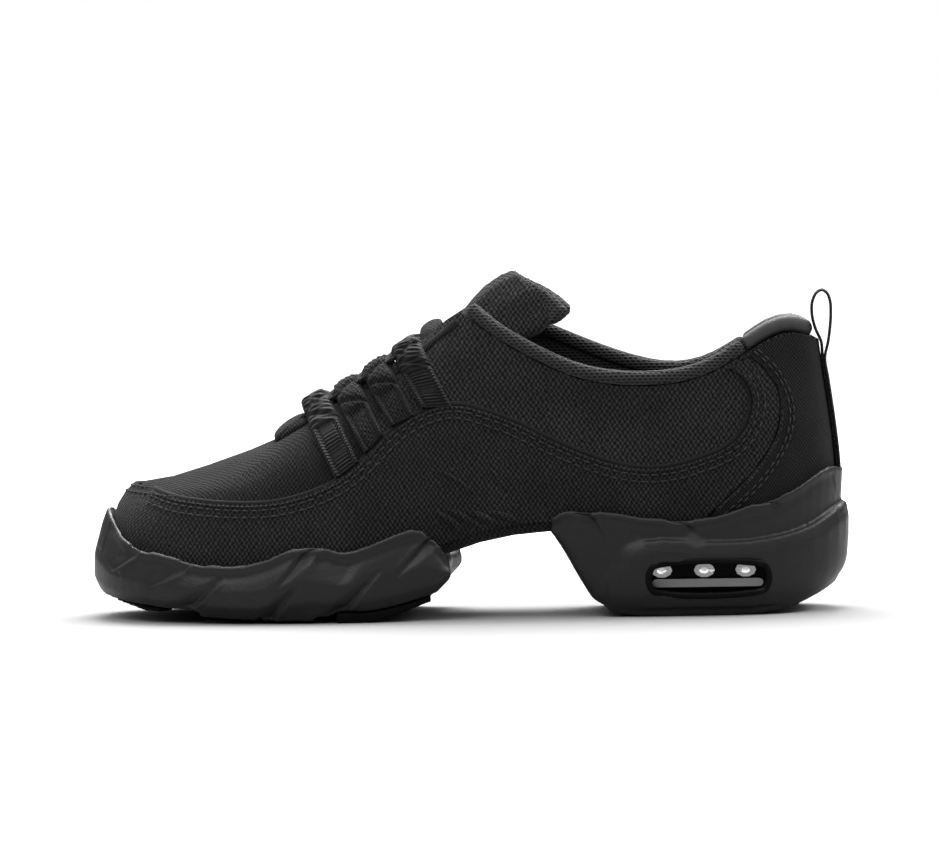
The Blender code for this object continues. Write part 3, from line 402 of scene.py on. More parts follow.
def softened(obj, voxel, rounds):
    """Even mesh of the same shape with soft edges."""
    names = [m.name for m in obj.data.materials]
    remesh = obj.modifiers.new("remesh", "REMESH")
    remesh.mode = "VOXEL"
    remesh.voxel_size = voxel
    remesh.use_smooth_shade = True
    smooth = obj.modifiers.new("smooth", "SMOOTH")
    smooth.factor = 0.5
    smooth.iterations = rounds
    graph = bpy.context.evaluated_depsgraph_get()
    graph.update()
    mesh = bpy.data.meshes.new_from_object(obj.evaluated_get(graph))
    obj.modifiers.clear()
    old = obj.data
    obj.data = mesh
    bpy.data.meshes.remove(old)
    mesh.name = obj.name
    if not mesh.materials:
        for name in names:
            mesh.materials.append(bpy.data.materials[name])
    mesh.polygons.foreach_set("use_smooth", np.ones(len(mesh.polygons), bool))
    return obj


def points_of(mesh):
    co = np.empty(len(mesh.vertices) * 3)
    mesh.vertices.foreach_get("co", co)
    return co.reshape(-1, 3)


def normals_of(mesh):
    no = np.empty(len(mesh.vertices) * 3)
    mesh.vertex_normals.foreach_get("vector", no)
    return no.reshape(-1, 3)


def unit(rows):
    """Rows of numbers scaled to length one."""
    return rows / np.linalg.norm(rows, axis=-1)[..., None]


def set_points(mesh, co):
    mesh.vertices.foreach_set("co", np.ascontiguousarray(co).ravel())
    mesh.update()


def relaxed(mesh, chosen, rounds):
    """Evens out the chosen part of a mesh."""
    bm = bmesh.new()
    bm.from_mesh(mesh)
    bm.verts.ensure_lookup_table()
    co = np.array([v.co[:] for v in bm.verts])
    verts = [bm.verts[i] for i in np.nonzero(chosen(co))[0]]
    for _ in range(rounds):
        bmesh.ops.smooth_vert(bm, verts=verts, factor=0.5, use_axis_x=True, use_axis_y=True, use_axis_z=True)
    bm.to_mesh(mesh)
    bm.free()


def pushed(mesh, co, no, push, low=0.25, span=0.35):
    """Moves the outer sides of a mesh along their normals, by push in mm."""
    facing = np.clip((np.abs(no[:, 1]) - low) / span, 0, 1)
    outside = (no[:, 1] * co[:, 1]) > 0
    co += no * (push * facing * outside)[:, None] * MM
    set_points(mesh, co)


def gap_to(points, line):
    """Distance of every point to a polyline in the same plane, and the share of the way along it."""
    best = np.full(len(points), 9.0)
    where = np.zeros(len(points))
    line = np.asarray(line, float)
    runs = np.diff(line, axis=0)
    lengths = np.linalg.norm(runs, axis=1)
    total = lengths.sum()
    done = 0.0
    for a, run, length in zip(line[:-1], runs, lengths):
        t = np.clip(((points - a) @ run) / length**2, 0, 1)
        d = np.linalg.norm(points - (a + t[:, None] * run), axis=1)
        nearer = d < best
        best[nearer] = d[nearer]
        where[nearer] = (done + t[nearer] * length) / total
        done += length
    return best, where


def carve(mesh, lines):
    """Soft troughs and ridges in the sides; each line: points in mm (x, z), half width, depth, taper."""
    co = points_of(mesh)
    no = normals_of(mesh)
    flat = co[:, [0, 2]] / MM
    push = np.zeros(len(co))
    for pts, half, depth, taper in lines:
        d, t = gap_to(flat, pts)
        push -= depth * np.exp(-(d / half)**2) * np.clip(np.minimum(t, 1 - t) / taper, 0, 1)
    pushed(mesh, co, no, push)


def spline(points, count):
    """Evenly spaced points on a smooth curve through the given ones."""
    pts = np.asarray(points, float)
    t = np.concatenate([[0], np.cumsum(np.linalg.norm(np.diff(pts, axis=0), axis=1))])
    m = np.gradient(pts, t, axis=0)
    u = np.linspace(0, t[-1], count * 4)
    i = np.clip(np.searchsorted(t, u, side="right") - 1, 0, len(t) - 2)
    h = (t[i + 1] - t[i])[:, None]
    s = ((u - t[i])[:, None]) / h
    out = ((2 * s**3 - 3 * s**2 + 1) * pts[i] + (s**3 - 2 * s**2 + s) * h * m[i]
           + (-2 * s**3 + 3 * s**2) * pts[i + 1] + (s**3 - s**2) * h * m[i + 1])
    run = np.concatenate([[0], np.cumsum(np.linalg.norm(np.diff(out, axis=0), axis=1))])
    even = np.linspace(0, run[-1], count)
    return np.stack([np.interp(even, run, out[:, k]) for k in range(out.shape[1])], axis=1)


# Centre of the toe's round, x in mm.
TOE_X = -168.0
# Where rays start, in metres from the shoe's middle.
FAR = 0.2


def from_side(tree, x, z, side, reach=1.0):
    """First place and normal a ray meets from one side, at x and z in mm; it reaches so many metres."""
    return tree.ray_cast(Vector((x * MM, side * FAR, z * MM)), Vector((0, -side, 0)), reach)[:2]


def on_side(tree, points, side, lift=0.0):
    """Points (x, z) in mm dropped on a surface from one side: places and normals."""
    places, normals = [], []
    for x, z in points:
        hit, normal = from_side(tree, x, z, side)
        if hit is None or abs(normal.y) < 0.35:
            continue
        if normal.y * side < 0:
            normal = -normal
        places.append(np.array(hit + normal * lift))
        normals.append(np.array(normal))
    return np.array(places), np.array(normals)


def round_toe(tree, height, angles):
    """Places and normals round the toe at a height in mm, by the angle from straight ahead."""
    places, normals = [], []
    centre = Vector((TOE_X * MM, 0.0, 0.0))
    for a in angles:
        way = Vector((-cos(a), sin(a), 0))
        origin = centre + way * FAR
        origin.z = height(a) * MM
        hit, normal, _, _ = tree.ray_cast(origin, -way)
        if hit is None or (hit - centre).to_2d().length < 0.027 or abs(normal.z) > 0.9:
            continue
        if normal.dot(way) < 0:
            normal = -normal
        places.append(np.array(hit))
        normals.append(np.array(normal))
    return np.array(places), np.array(normals)


def levelled(values, rounds, across=True):
    """Averages rows of numbers in place with their neighbours, and columns too."""
    for _ in range(rounds):
        values[1:-1] = values[1:-1] * 0.5 + (values[:-2] + values[2:]) * 0.25
        if across:
            values[:, 1:-1] = values[:, 1:-1] * 0.5 + (values[:, :-2] + values[:, 2:]) * 0.25


def evened(places, normals, rounds=3):
    """The same row with its facets averaged out."""
    places, normals = places.copy(), normals.copy()
    levelled(places, rounds, False)
    levelled(normals, rounds, False)
    return places, unit(normals)


def beside(line, hand=1.0):
    """Unit steps across a row of points (x, z), to one hand of its run."""
    run = unit(np.gradient(line, axis=0))
    return np.stack([run[:, 1], -run[:, 0]], axis=1) * hand


# A stitch: the gap to the next one, its width and height, and the share of it that is sunk in.
STITCH_GAP, STITCH_WIDE, STITCH_HIGH, STITCH_SINK = 0.9 * MM, 0.62 * MM, 0.5 * MM, 0.25
# Its outline: places along it and the thickness there, as shares of its length and width.
STITCH_SHAPE = ((-0.5, 0.15), (-0.38, 0.8), (-0.15, 1.0), (0.15, 1.0), (0.38, 0.8), (0.5, 0.15))


def sewing(bm, places, normals):
    """Row of stitches: short plump threads lying along the row."""
    length = sizes().stitch_length
    step = np.concatenate([[0], np.cumsum(np.linalg.norm(np.diff(places, axis=0), axis=1))])
    at = 0.0
    while at + length < step[-1]:
        mid = at + length / 2
        rings = []
        for share, size in STITCH_SHAPE:
            s = mid + share * length
            p = np.array([np.interp(s, step, places[:, k]) for k in range(3)])
            n = np.array([np.interp(s, step, normals[:, k]) for k in range(3)])
            n /= np.linalg.norm(n)
            q = np.array([np.interp(s + 1e-5, step, places[:, k]) for k in range(3)])
            run = (q - p) / max(np.linalg.norm(q - p), 1e-9)
            side = np.cross(n, run)
            lift = STITCH_HIGH * (size - STITCH_SINK)
            rings.append([bm.verts.new(p + side * (cos(a) * STITCH_WIDE / 2 * size)
                                       + n * (lift + sin(a) * STITCH_HIGH / 2 * size))
                          for a in np.linspace(0, 2 * pi, 6, endpoint=False)])
        for a, b in zip(rings[:-1], rings[1:]):
            for k in range(6):
                bm.faces.new((a[k - 1], a[k], b[k], b[k - 1]))
        bm.faces.new(rings[0][::-1])
        bm.faces.new(rings[-1])
        at += length + STITCH_GAP


def rod(bm, path, normals, wide, high, around=8, closed=False):
    """Rounded cord along a path; wide lies on the surface, high stands off it."""
    n = len(path)
    run = np.roll(path, -1, 0) - np.roll(path, 1, 0) if closed else np.gradient(path, axis=0)
    run /= np.maximum(np.linalg.norm(run, axis=1), 1e-9)[:, None]
    rings = []
    for i in range(n):
        side = np.cross(normals[i], run[i])
        side /= max(np.linalg.norm(side), 1e-9)
        w = wide[i] if np.ndim(wide) else wide
        h = high[i] if np.ndim(high) else high
        rings.append([bm.verts.new(path[i] + side * (cos(a) * w / 2) + normals[i] * (sin(a) * h / 2))
                      for a in np.linspace(0, 2 * pi, around, endpoint=False)])
    pairs = list(zip(rings[:-1], rings[1:]))
    if closed:
        pairs.append((rings[-1], rings[0]))
    for a, b in pairs:
        for k in range(around):
            bm.faces.new((a[k - 1], a[k], b[k], b[k - 1]))
    if not closed:
        bm.faces.new(rings[0][::-1])
        bm.faces.new(rings[-1])


def sewn(bm, row):
    """Sews along a row, unless too little of it lies on the surface."""
    if len(row[0]) > 4:
        sewing(bm, *evened(*row))


def corded(bm, row, wide, high):
    """Lays a thin cord along a row; width and height in mm."""
    if len(row[0]) > 4:
        rod(bm, *evened(*row, 6), wide * MM, high * MM)


def faces_of(bm, front, back):
    """Closed sheet between two grids of points."""
    n, m = front.shape[:2]
    a = [[bm.verts.new(front[i, j]) for j in range(m)] for i in range(n)]
    b = [[bm.verts.new(back[i, j]) for j in range(m)] for i in range(n)]
    for i in range(n - 1):
        for j in range(m - 1):
            bm.faces.new((a[i][j], a[i + 1][j], a[i + 1][j + 1], a[i][j + 1]))
            bm.faces.new((b[i][j], b[i][j + 1], b[i + 1][j + 1], b[i + 1][j]))
    rim = [(i, 0) for i in range(n)] + [(n - 1, j) for j in range(1, m)] \
        + [(i, m - 1) for i in range(n - 2, -1, -1)] + [(0, j) for j in range(m - 2, 0, -1)]
    for k, (i, j) in enumerate(rim):
        p, q = rim[k - 1]
        bm.faces.new((a[p][q], a[i][j], b[i][j], b[p][q]))
    bmesh.ops.recalc_face_normals(bm, faces=bm.faces)


# Rows seen from the side, x and z in mm.
OVERLAY_EDGE = [(-196.1, 46.4), (-189.7, 44.4), (-178.7, 42.7), (-165.2, 41.8), (-151.6, 42.2), (-137.7, 45.4),
                (-128.7, 49.2), (-119.3, 56.1), (-113.0, 62.5), (-107.4, 67.7), (-101.0, 71.8), (-93.7, 74.9),
                (-87.3, 76.0), (-82.7, 75.7), (-75.0, 73.4), (-66.4, 70.2), (-51.5, 62.8), (-36.3, 56.3),
                (-26.0, 53.2), (-16.8, 52.2), (-8.0, 53.0), (2.0, 55.9), (7.0, 57.7), (11.4, 59.9), (15.6, 63.7),
                (18.4, 68.3), (19.8, 73.0), (20.0, 77.4), (18.7, 81.3), (16.0, 84.8)]
COUNTER_LINE = [(17.0, 92.0), (20.6, 88.8), (25.4, 83.6), (28.4, 77.8), (29.7, 71.6), (28.8, 65.0), (25.2, 57.4),
                (19.8, 50.2), (13.0, 43.6), (6.3, 38.0)]

THROAT_LINE = [(-116.0, 84.6), (-110.0, 89.0), (-104.0, 93.4), (-98.0, 98.2), (-92.0, 103.2), (-86.5, 107.2)]

# The seam between the tongue's face and its lining: height and x in mm.
TONGUE_SEAM = ((96.0, 101.9, 106.8, 110.5, 114.1, 118.4, 121.0), (-56.0, -52.6, -52.0, -54.6, -58.0, -62.6, -66.0))
# How much the tongue's top is raised and the heel patch drawn in, in mm.
TONGUE_RISE, PATCH_INSET = 2.8, 0.35

# Folds of the cloth in the arch: start, end and width, in mm.
ARCH_FOLDS = (((-93.2, 39.0), (-80.0, 27.4), 3.0), ((-88.6, 39.6), (-73.6, 28.6), 2.6),
              ((-81.6, 38.6), (-66.8, 30.0), 2.8), ((-74.6, 38.2), (-60.4, 32.0), 2.4),
              ((-93.2, 53.8), (-78.0, 43.8), 1.6), ((-75.2, 54.2), (-68.2, 46.6), 1.4))

# The shoe's outer and inner side.
SIDES = (-1.0, 1.0)

# Width and height in mm: the folded edge of a cloth, and the dark rod of painted shade beside it.
EDGE_CORD = (1.1, 0.9)
SEAM_SHADE_CORD = (2.0, 0.7)

# Where the vamp's darker cloth ends, x in mm.
VAMP_END = -112.0
# How far the vamp sinks between the toe and the laces: x and depth in mm.
VAMP_DROP = ((-206.0, -200.0, -195.0, -190.0, -180.0, -175.0, -165.0, -158.0, -149.0),
             (0.8, 1.6, 2.6, 3.7, 3.6, 3.2, 2.3, 1.6, 0.0))

# Tapered cuts: foot and tip seen from the side, width at the foot, depth, side of the slope.
FORE_WEDGES = (
    ((-207.9, 20.4), (-198.2, 26.6), 2.4, 0.9, 1), ((-192.0, 15.4), (-177.4, 22.8), 2.8, 1.1, 1),
    ((-184.6, 2.0), (-168.8, 17.0), 6.0, 2.1, 1), ((-152.0, 1.0), (-141.6, 14.6), 4.6, 1.9, 1),
    ((-134.6, 30.6), (-149.0, 13.0), 4.2, 1.8, 1), ((-127.8, 1.4), (-112.8, 18.6), 5.0, 2.0, 1),
    ((-91.4, 33.0), (-107.4, 15.8), 4.4, 1.8, 1),
)
HEEL_WEDGES = (
    ((-42.0, 42.0), (-33.0, 27.2), 6.0, 1.9, -1), ((-10.6, 39.0), (-0.4, 28.4), 4.2, 1.5, -1),
    ((19.6, 44.0), (32.0, 36.6), 3.0, 1.2, -1),
)
# A trough and a swell in the front unit's side: line, half width, depth, taper.
SOLE_SWELLS = (
    ([(-214.0, 34.0), (-206.0, 26.8), (-198.0, 23.2), (-186.0, 20.0)], 3.4, -0.4, 0.2),
    ([(-134.0, 25.6), (-127.0, 20.2), (-122.0, 16.6)], 5.0, 0.8, 0.2),
)


# Half length and end radius of the heel's windows, and how far their rim lies outside, in mm.
WINDOW_HALF, WINDOW_ROUND, RIM_OUT = 21.2, 5.85, 0.4

# Where the rubber of the pads ends on the front unit: x and height in mm.
PAD_TOP = ((-190.0, -184.0, -136.0, -133.0, -130.0, -96.0, -92.0), (0.4, 1.2, 1.2, 0.2, 2.9, 6.9, 0.0))


def wedged(mesh, cuts):
    """Tapered cuts in the sides of a sole: a slope that ends at a steep step."""
    def near(co):
        close = np.zeros(len(co), bool)
        for foot, tip, *_ in cuts:
            close |= gap_to(co[:, [0, 2]] / MM, (foot, tip))[0] < 3.6
        return close & (co[:, 2] > 0.0035)
    relaxed(mesh, near, 28)
    co = points_of(mesh)
    no = normals_of(mesh)
    flat = co[:, [0, 2]] / MM
    push = np.zeros(len(co))
    for foot, tip, wide, depth, hand in cuts:
        foot, tip = np.array(foot), np.array(tip)
        run = tip - foot
        length = np.linalg.norm(run)
        run /= length
        t = (flat - foot) @ run / length
        left = (flat - foot) @ np.array((-run[1], run[0])) * hand
        share = np.clip(1 - t, 0, 1)
        slope = np.clip(1 - left / (0.7 + wide * share), 0, 1)
        step = np.exp(-(left / 0.55)**2)
        push -= depth * share**0.5 * np.where(left > 0, slope, step) * (t > -0.3)
        push += 0.45 * share**0.5 * np.exp(-((left + 1.7) / 0.9)**2) * (t > -0.1)
    pushed(mesh, co, no, push)


def rolled_rim(mesh, height=0.7):
    """Raises a soft roll along the top edge of a sole's sides."""
    co = points_of(mesh)
    no = normals_of(mesh)
    x = co[:, 0] / MM
    bins = np.arange(x.min(), x.max() + 3, 3.0)
    where = np.digitize(x, bins)
    side = np.abs(no[:, 1]) > 0.5
    tops = np.array([co[(where == k) & side, 2].max() if ((where == k) & side).any() else np.nan
                     for k in range(1, len(bins) + 1)]) / MM
    mids = bins + 1.5
    good = ~np.isnan(tops)
    tops = np.interp(mids, mids[good], tops[good])
    drop = np.interp(x, mids, tops) - co[:, 2] / MM
    push = height * np.exp(-((drop - 1.1) / 1.0)**2) - 0.35 * height * np.exp(-((drop - 4.2) / 1.6)**2)
    pushed(mesh, co, no, push, 0.2, 0.4)


def fuller_toe(mesh):
    """Squares up the front of the forefoot moulding, low down."""
    co = points_of(mesh)
    x, y, z = (co / MM).T
    way = np.stack([x - TOE_X, y], axis=1)
    far = np.linalg.norm(way, axis=1)
    way /= far[:, None]
    share = np.interp(z, (0.0, 3.0, 9.0, 20.0, 32.0), (0.6, 1.0, 1.0, 0.6, 0.0))
    amount = 2.3 * np.clip((-x - 196.0) / 16.0, 0, 1) * share
    amount *= far > 30.0
    co[:, :2] += way * amount[:, None] * MM
    set_points(mesh, co)


class SHOE_OT_upper(bpy.types.Operator):
    """Canvas upper, its lining, the overlay and counter with their sewing"""
    bl_idname = "shoe.upper"
    bl_label = "Upper"

    def shell(self):
        """The canvas body: lining inside, darker vamp in front, lowered there to the photograph's line."""
        bm = welded("upper")
        for face in bm.faces:
            c = face.calc_center_median() / MM
            n = face.normal
            centre_z = 60.0 if c.x > -60 else 45.0 + (c.x + 215) * 0.12
            outward = n.y * c.y + n.z * max(c.z - centre_z, 0) * 0.6 + (n.x * (c.x - 20) if c.x > 20 else 0)
            if c.x < -150:
                outward += n.x * (c.x + 150)
            if outward < 0:
                face.material_index = 2
            elif c.x < VAMP_END:
                face.material_index = 1
        for v in bm.verts:
            drop = np.interp(v.co.x / MM, *VAMP_DROP) * np.clip((v.co.z / MM - 46.0) / 6.0, 0, 1)
            v.co.z -= drop * MM
        place("upper_shell", bm, "quarter", ("upper",), 60.0, ("vamp", "lining_knit"))

    def execute(self, context):
        self.shell()
        for node, key, slot in (("side_overlay", "overlay", "coarse_weave"), ("heel_counter", "counter", "canvas")):
            place(node + "_cloth", welded(node), key, (node,), 50.0)
        overlay, counter, upper = (node_tree(node) for node in ("side_overlay", "heel_counter", "upper"))
        threads, edges, troughs, folds = (bmesh.new() for _ in range(4))
        front = spline(OVERLAY_EDGE, 260)
        rear = spline(COUNTER_LINE, 120)
        inward = beside(front)
        ahead = beside(rear, -1.0)
        for side in SIDES:
            for inset in (1.9, 4.3):
                sewn(threads, on_side(overlay, front + inward * inset, side))
            corded(edges, on_side(overlay, front + inward * 0.55, side), *EDGE_CORD)
        for inset, angle in ((1.9, 62.0), (4.3, 64.0)):
            sewn(threads, round_toe(overlay, lambda a, i=inset: 48.9 - i * 0.8 - 1.8 * sin(a)**2,
                                    np.radians(np.linspace(-angle, angle, 90))))
        for hand in SIDES:
            corded(edges, round_toe(overlay, lambda a: 48.7 - 1.6 * sin(a)**2,
                                    np.radians(hand * np.linspace(34.0, 60.0, 30))), *EDGE_CORD)
        for side in SIDES:
            for inset in (3.4, 4.7):
                sewn(threads, on_side(counter, rear + ahead * inset, side))
            corded(edges, on_side(counter, rear + ahead * 0.6, side), *EDGE_CORD)
        # Dark rods sunk along the seams outside the overlay and counter edges: painted shade in the seams.
        for row in (front - inward * 0.7, rear - ahead * 0.8):
            for side in SIDES:
                corded(troughs, on_side(upper, row, side), *SEAM_SHADE_CORD)
        place("painted_seam_shades", troughs, "shadow", (), 80.0)
        place("seam_stitches", threads, "thread", (), 80.0)
        for start, end, wide in ARCH_FOLDS:
            t = np.linspace(0, 1, 26)[:, None]
            row = np.array(start) * (1 - t) + np.array(end) * t + np.array((0.0, 1.0)) * np.sin(pi * t) * 1.2
            for side in SIDES:
                places, normals = on_side(overlay, row, side)
                if len(places) > 12:
                    places, normals = evened(places, normals, 4)
                    share = np.sin(pi * np.linspace(0.04, 0.96, len(places)))
                    rod(folds, places, normals, wide * MM * share**0.6, wide * 0.85 * MM * share, 14)
        place("arch_pleats", folds, "overlay", (), 80.0)
        place("folded_edges", edges, "overlay", (), 80.0)
        return {"FINISHED"}


class SHOE_OT_soles(bpy.types.Operator):
    """Moulded forefoot and heel units, shell, treads and clear windows"""
    bl_idname = "shoe.soles"
    bl_label = "Soles"

    def execute(self, context):
        fronts = ("forefoot_midsole", "ball_pad_front", "ball_pad_rear")
        fore = softened(place("forefoot_moulding", merged(*fronts), "foam", fronts, 0), 0.75 * MM, 6)
        carve(fore.data, SOLE_SWELLS)
        co = points_of(fore.data)
        between = np.clip(1.4 - np.abs(co[:, 0] / MM + 134.0) / 5.0, 0, 1) * (np.abs(co[:, 1]) > 0.022)
        low = np.clip((5.0 - co[:, 2] / MM) / 2.0, 0, 1)
        co[:, 2] -= between * low * np.clip(co[:, 2] - 0.0003, 0, 1) * 0.85
        set_points(fore.data, co)
        fuller_toe(fore.data)
        wedged(fore.data, FORE_WEDGES)
        rolled_rim(fore.data)
        spots = points_of(fore.data)[[q.vertices[0] for q in fore.data.polygons]] / MM
        pad_top = np.interp(spots[:, 0], *PAD_TOP)
        fore.data.materials.append(materials()["rubber"])
        fore.data.polygons.foreach_set("material_index", (spots[:, 2] < pad_top).astype(int))
        rears = ("heel_midsole", "heel_frame", "heel_outsole")
        heel = softened(place("heel_moulding", merged(*rears), "foam", rears, 0), 0.7 * MM, 3)
        relaxed(heel.data, lambda co: (co[:, 0] < -0.019) & (np.abs(co[:, 1]) > 0.020) & (co[:, 2] > 0.003)
                & (co[:, 2] < 0.030), 40)
        relaxed(heel.data, lambda co: (co[:, 0] > 0.027) & (co[:, 2] > 0.003) & (co[:, 2] < 0.026), 30)
        wedged(heel.data, HEEL_WEDGES)
        rolled_rim(heel.data, 0.5)
        for node in ("toe_pad", "rear_pad"):
            softened(place(node + "_tread", welded(node), "rubber", (node,), 0), 0.7 * MM, 2)
        place("insole_sheet", welded("insole"), "lining", ("insole",), 40.0)
        shell = node_tree("heel_frame")
        rim, glass = bmesh.new(), bmesh.new()
        for side, node in zip(SIDES, ("cushion_outer", "cushion_inner")):
            self.window_rim(rim, shell, side)
            for x in (-13.2, 1.9, 16.6):
                self.gem(glass, np.array((x, side * 31.0, 16.2)), side)
            bm = welded(node)
            for face in bm.faces:
                c = face.calc_center_median() / MM
                if abs(c.y) > 26.6 and c.z < 13.3:
                    face.material_index = 1
            place(node + "_insert", bm, "dark_clear", (node,), 30.0, ("bar_clear",))
        place("window_rims", rim, "dark_clear", (), 80.0)
        place("window_gems", glass, "stud", (), 0)
        return {"FINISHED"}

    def window_rim(self, bm, shell, side):
        """Dark rim laid on the heel shell round its window."""
        a = np.linspace(0, 2 * pi, 120, endpoint=False)
        half, r = WINDOW_HALF - WINDOW_ROUND + RIM_OUT, WINDOW_ROUND + RIM_OUT
        x = 3.6 + np.sign(np.cos(a)) * half * np.minimum(1, np.abs(np.cos(a)) * 1.6) + r * np.cos(a) * 0.9
        places = []
        for px, pz in zip(x, 13.6 + r * np.sin(a)):
            hit, _ = from_side(shell, px, pz, side)
            if hit is None or abs(hit.y) < 0.030:
                hit = Vector((px * MM, side * 0.0352, pz * MM))
            places.append(np.array(hit))
        places = np.array(places)
        for _ in range(4):
            places = places * 0.5 + (np.roll(places, 1, 0) + np.roll(places, -1, 0)) * 0.25
        rod(bm, places, np.tile((0.0, side, 0.0), (len(places), 1)), 2.3 * MM, 1.2 * MM, 10, True)

    def gem(self, bm, centre, side):
        """Cut stud behind the window: two rings of corners, a tip and a back."""
        def corner(x, y, z):
            return bm.verts.new((centre + (x, y, z)) * MM)
        outer, inner = [], []
        for k in range(10):
            turn = 2 * pi * k / 10
            outer.append(corner(3.7 * cos(turn), -side * 1.2, 2.6 * sin(turn)))
            inner.append(corner(1.7 * cos(turn + 0.3), side * 0.5, 1.1 * sin(turn + 0.3)))
        tip = corner(0.0, -side * 1.0, -0.5)
        back = corner(0.0, -side * 3.2, 0.0)
        for k in range(10):
            for ring in ((outer[k - 1], outer[k], inner[k]), (outer[k - 1], inner[k], inner[k - 1]),
                         (inner[k - 1], inner[k], tip), (outer[k], outer[k - 1], back)):
                bm.faces.new(ring if side < 0 else ring[::-1])


class SHOE_OT_collar(bpy.types.Operator):
    """Padded collar rolls, heel patch, tongue and throat binding"""
    bl_idname = "shoe.collar"
    bl_label = "Collar"

    def execute(self, context):
        for node, key, slot in (("collar_roll_outer", "knit", "knit"), ("collar_roll_inner", "knit", "knit"),
                                ("heel_tab", "patch", "smooth_patch")):
            roll = softened(place(node + "_pad", welded(node), key, (node,), 0), 0.8 * MM, 6)
            if node == "heel_tab":
                flat = normals_of(roll.data) * (1.0, 1.0, 0.0)
                set_points(roll.data, points_of(roll.data) - flat * PATCH_INSET * MM)
        upper = node_tree("upper")
        line = spline(THROAT_LINE, 60)
        for side, node in zip(SIDES, ("throat_binding_outer", "throat_binding_inner")):
            strip = bmesh.new()
            rod(strip, *evened(*on_side(upper, line + beside(line) * 2.4, side, 0.1 * MM), 8), 3.2 * MM, 1.0 * MM, 12)
            place(node + "_tape", strip, "counter", (node,), 60.0)
        for side, hand in zip(SIDES, ("outer", "inner")):
            self.lining(upper, side, hand)
        tongue = softened(place("tongue_pad", welded("tongue"), "quarter", ("tongue",), 0, ("knit",)),
                          0.9 * MM, 6)
        mesh = tongue.data
        co = points_of(mesh)
        no = normals_of(mesh)
        x, z = co[:, 0] / MM, co[:, 2] / MM
        far = x - np.interp(z, *TONGUE_SEAM)
        swell = np.exp(-((far - 4.0) / 4.5)**2) * 0.9 - np.exp(-(far / 1.1)**2) * 0.8
        co += no * (swell * (z > 96))[:, None] * MM
        co[:, 2] += TONGUE_RISE * MM * np.clip((z - 98.0) / 12.0, 0, 1)
        set_points(mesh, co)
        index = np.zeros(len(mesh.polygons), int)
        for i, polygon in enumerate(mesh.polygons):
            v = polygon.vertices[0]
            down = polygon.normal.x * 0.75 - polygon.normal.z * 0.6
            if far[v] > 0 or down > 0.35:
                index[i] = 1
        mesh.polygons.foreach_set("material_index", index)
        mesh.update()
        return {"FINISHED"}

    def lining(self, upper, side, hand):
        """Knit lining inside the collar, from under the roll down."""
        roll = points_of(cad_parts["collar_roll_" + hand].data) / MM
        rows = []
        for x in np.linspace(-80.0, 18.0, 60):
            near = roll[np.abs(roll[:, 0] - x) < 3.0]
            top = near[:, 2].mean() if len(near) else 90.0
            column = []
            for drop in np.linspace(-0.5, 26.0, 16):
                hit, _, _, _ = upper.ray_cast(Vector((x * MM, 0, (top - drop) * MM)), Vector((0, side, 0)))
                y = hit.y / MM if hit is not None and abs(hit.y) > 0.010 else None
                column.append([x, y, top - drop])
            known = [c[1] for c in column if c[1] is not None]
            for c in column:
                if c[1] is None:
                    c[1] = known[0] if known else side * 20.0
            rows.append(column)
        grid = np.array(rows, float)
        levelled(grid[..., 1], 6)
        levelled(grid[..., 2], 6, False)
        v = np.linspace(0, 1, 16)[None, :]
        grid[..., 1] -= side * (0.5 + 1.8 * np.sin(pi * np.clip(v * 1.1, 0, 1)))
        back = grid.copy()
        back[..., 1] += side * 0.8
        bm = bmesh.new()
        faces_of(bm, grid * MM, back * MM)
        place("collar_lining_" + hand, bm, "lining_knit", (), 60.0)


# Lace straps seen from the side, x and z in mm: front foot, rear foot, front top, rear top.
STRAPS = (
    ((-128.9, 50.4), (-119.4, 57.4), (-142.4, 74.6), (-131.4, 79.6)),
    ((-118.4, 59.0), (-110.8, 66.8), (-130.6, 79.4), (-120.6, 84.8)),
    ((-109.0, 68.6), (-99.4, 73.2), (-119.8, 85.6), (-110.0, 91.6)),
    ((-98.6, 75.4), (-85.6, 75.6), (-109.0, 93.0), (-98.4, 98.8)),
)
# A strap's cells along, round its fold and across; the fold's radius in mm.
STRAP_ROWS, STRAP_CURL, STRAP_COLS = 96, 26, 32
FOLD_ROUND = 1.6
# The pull loop above the heel, x and z in mm.
PULL_BOW = [(44.4, 95.6), (42.4, 100.4), (41.2, 106.0), (41.6, 110.6), (43.2, 113.4), (44.9, 114.2), (46.6, 113.2),
            (47.8, 110.2), (48.0, 106.0), (47.6, 100.4), (46.9, 95.6)]
DOWN = (0, 0, -1)
# Where the solid's lace stops and the wide bow takes over, x in metres.
CORD_END = -0.1436


def carried(column, k):
    """Carries a column of points on from its k-th one, nearly as it sloped."""
    slope = (column[k, 1] - column[max(k - 14, 0), 1]) / 14
    i = np.arange(k + 1, len(column))
    column[i, 1] = column[k, 1] + slope * (i - k) * 0.9


def hit_from(tree, x, y, z, way):
    """Place where a ray meets a surface, or None."""
    return tree.ray_cast(Vector((x, y, z)), Vector(way))[0]


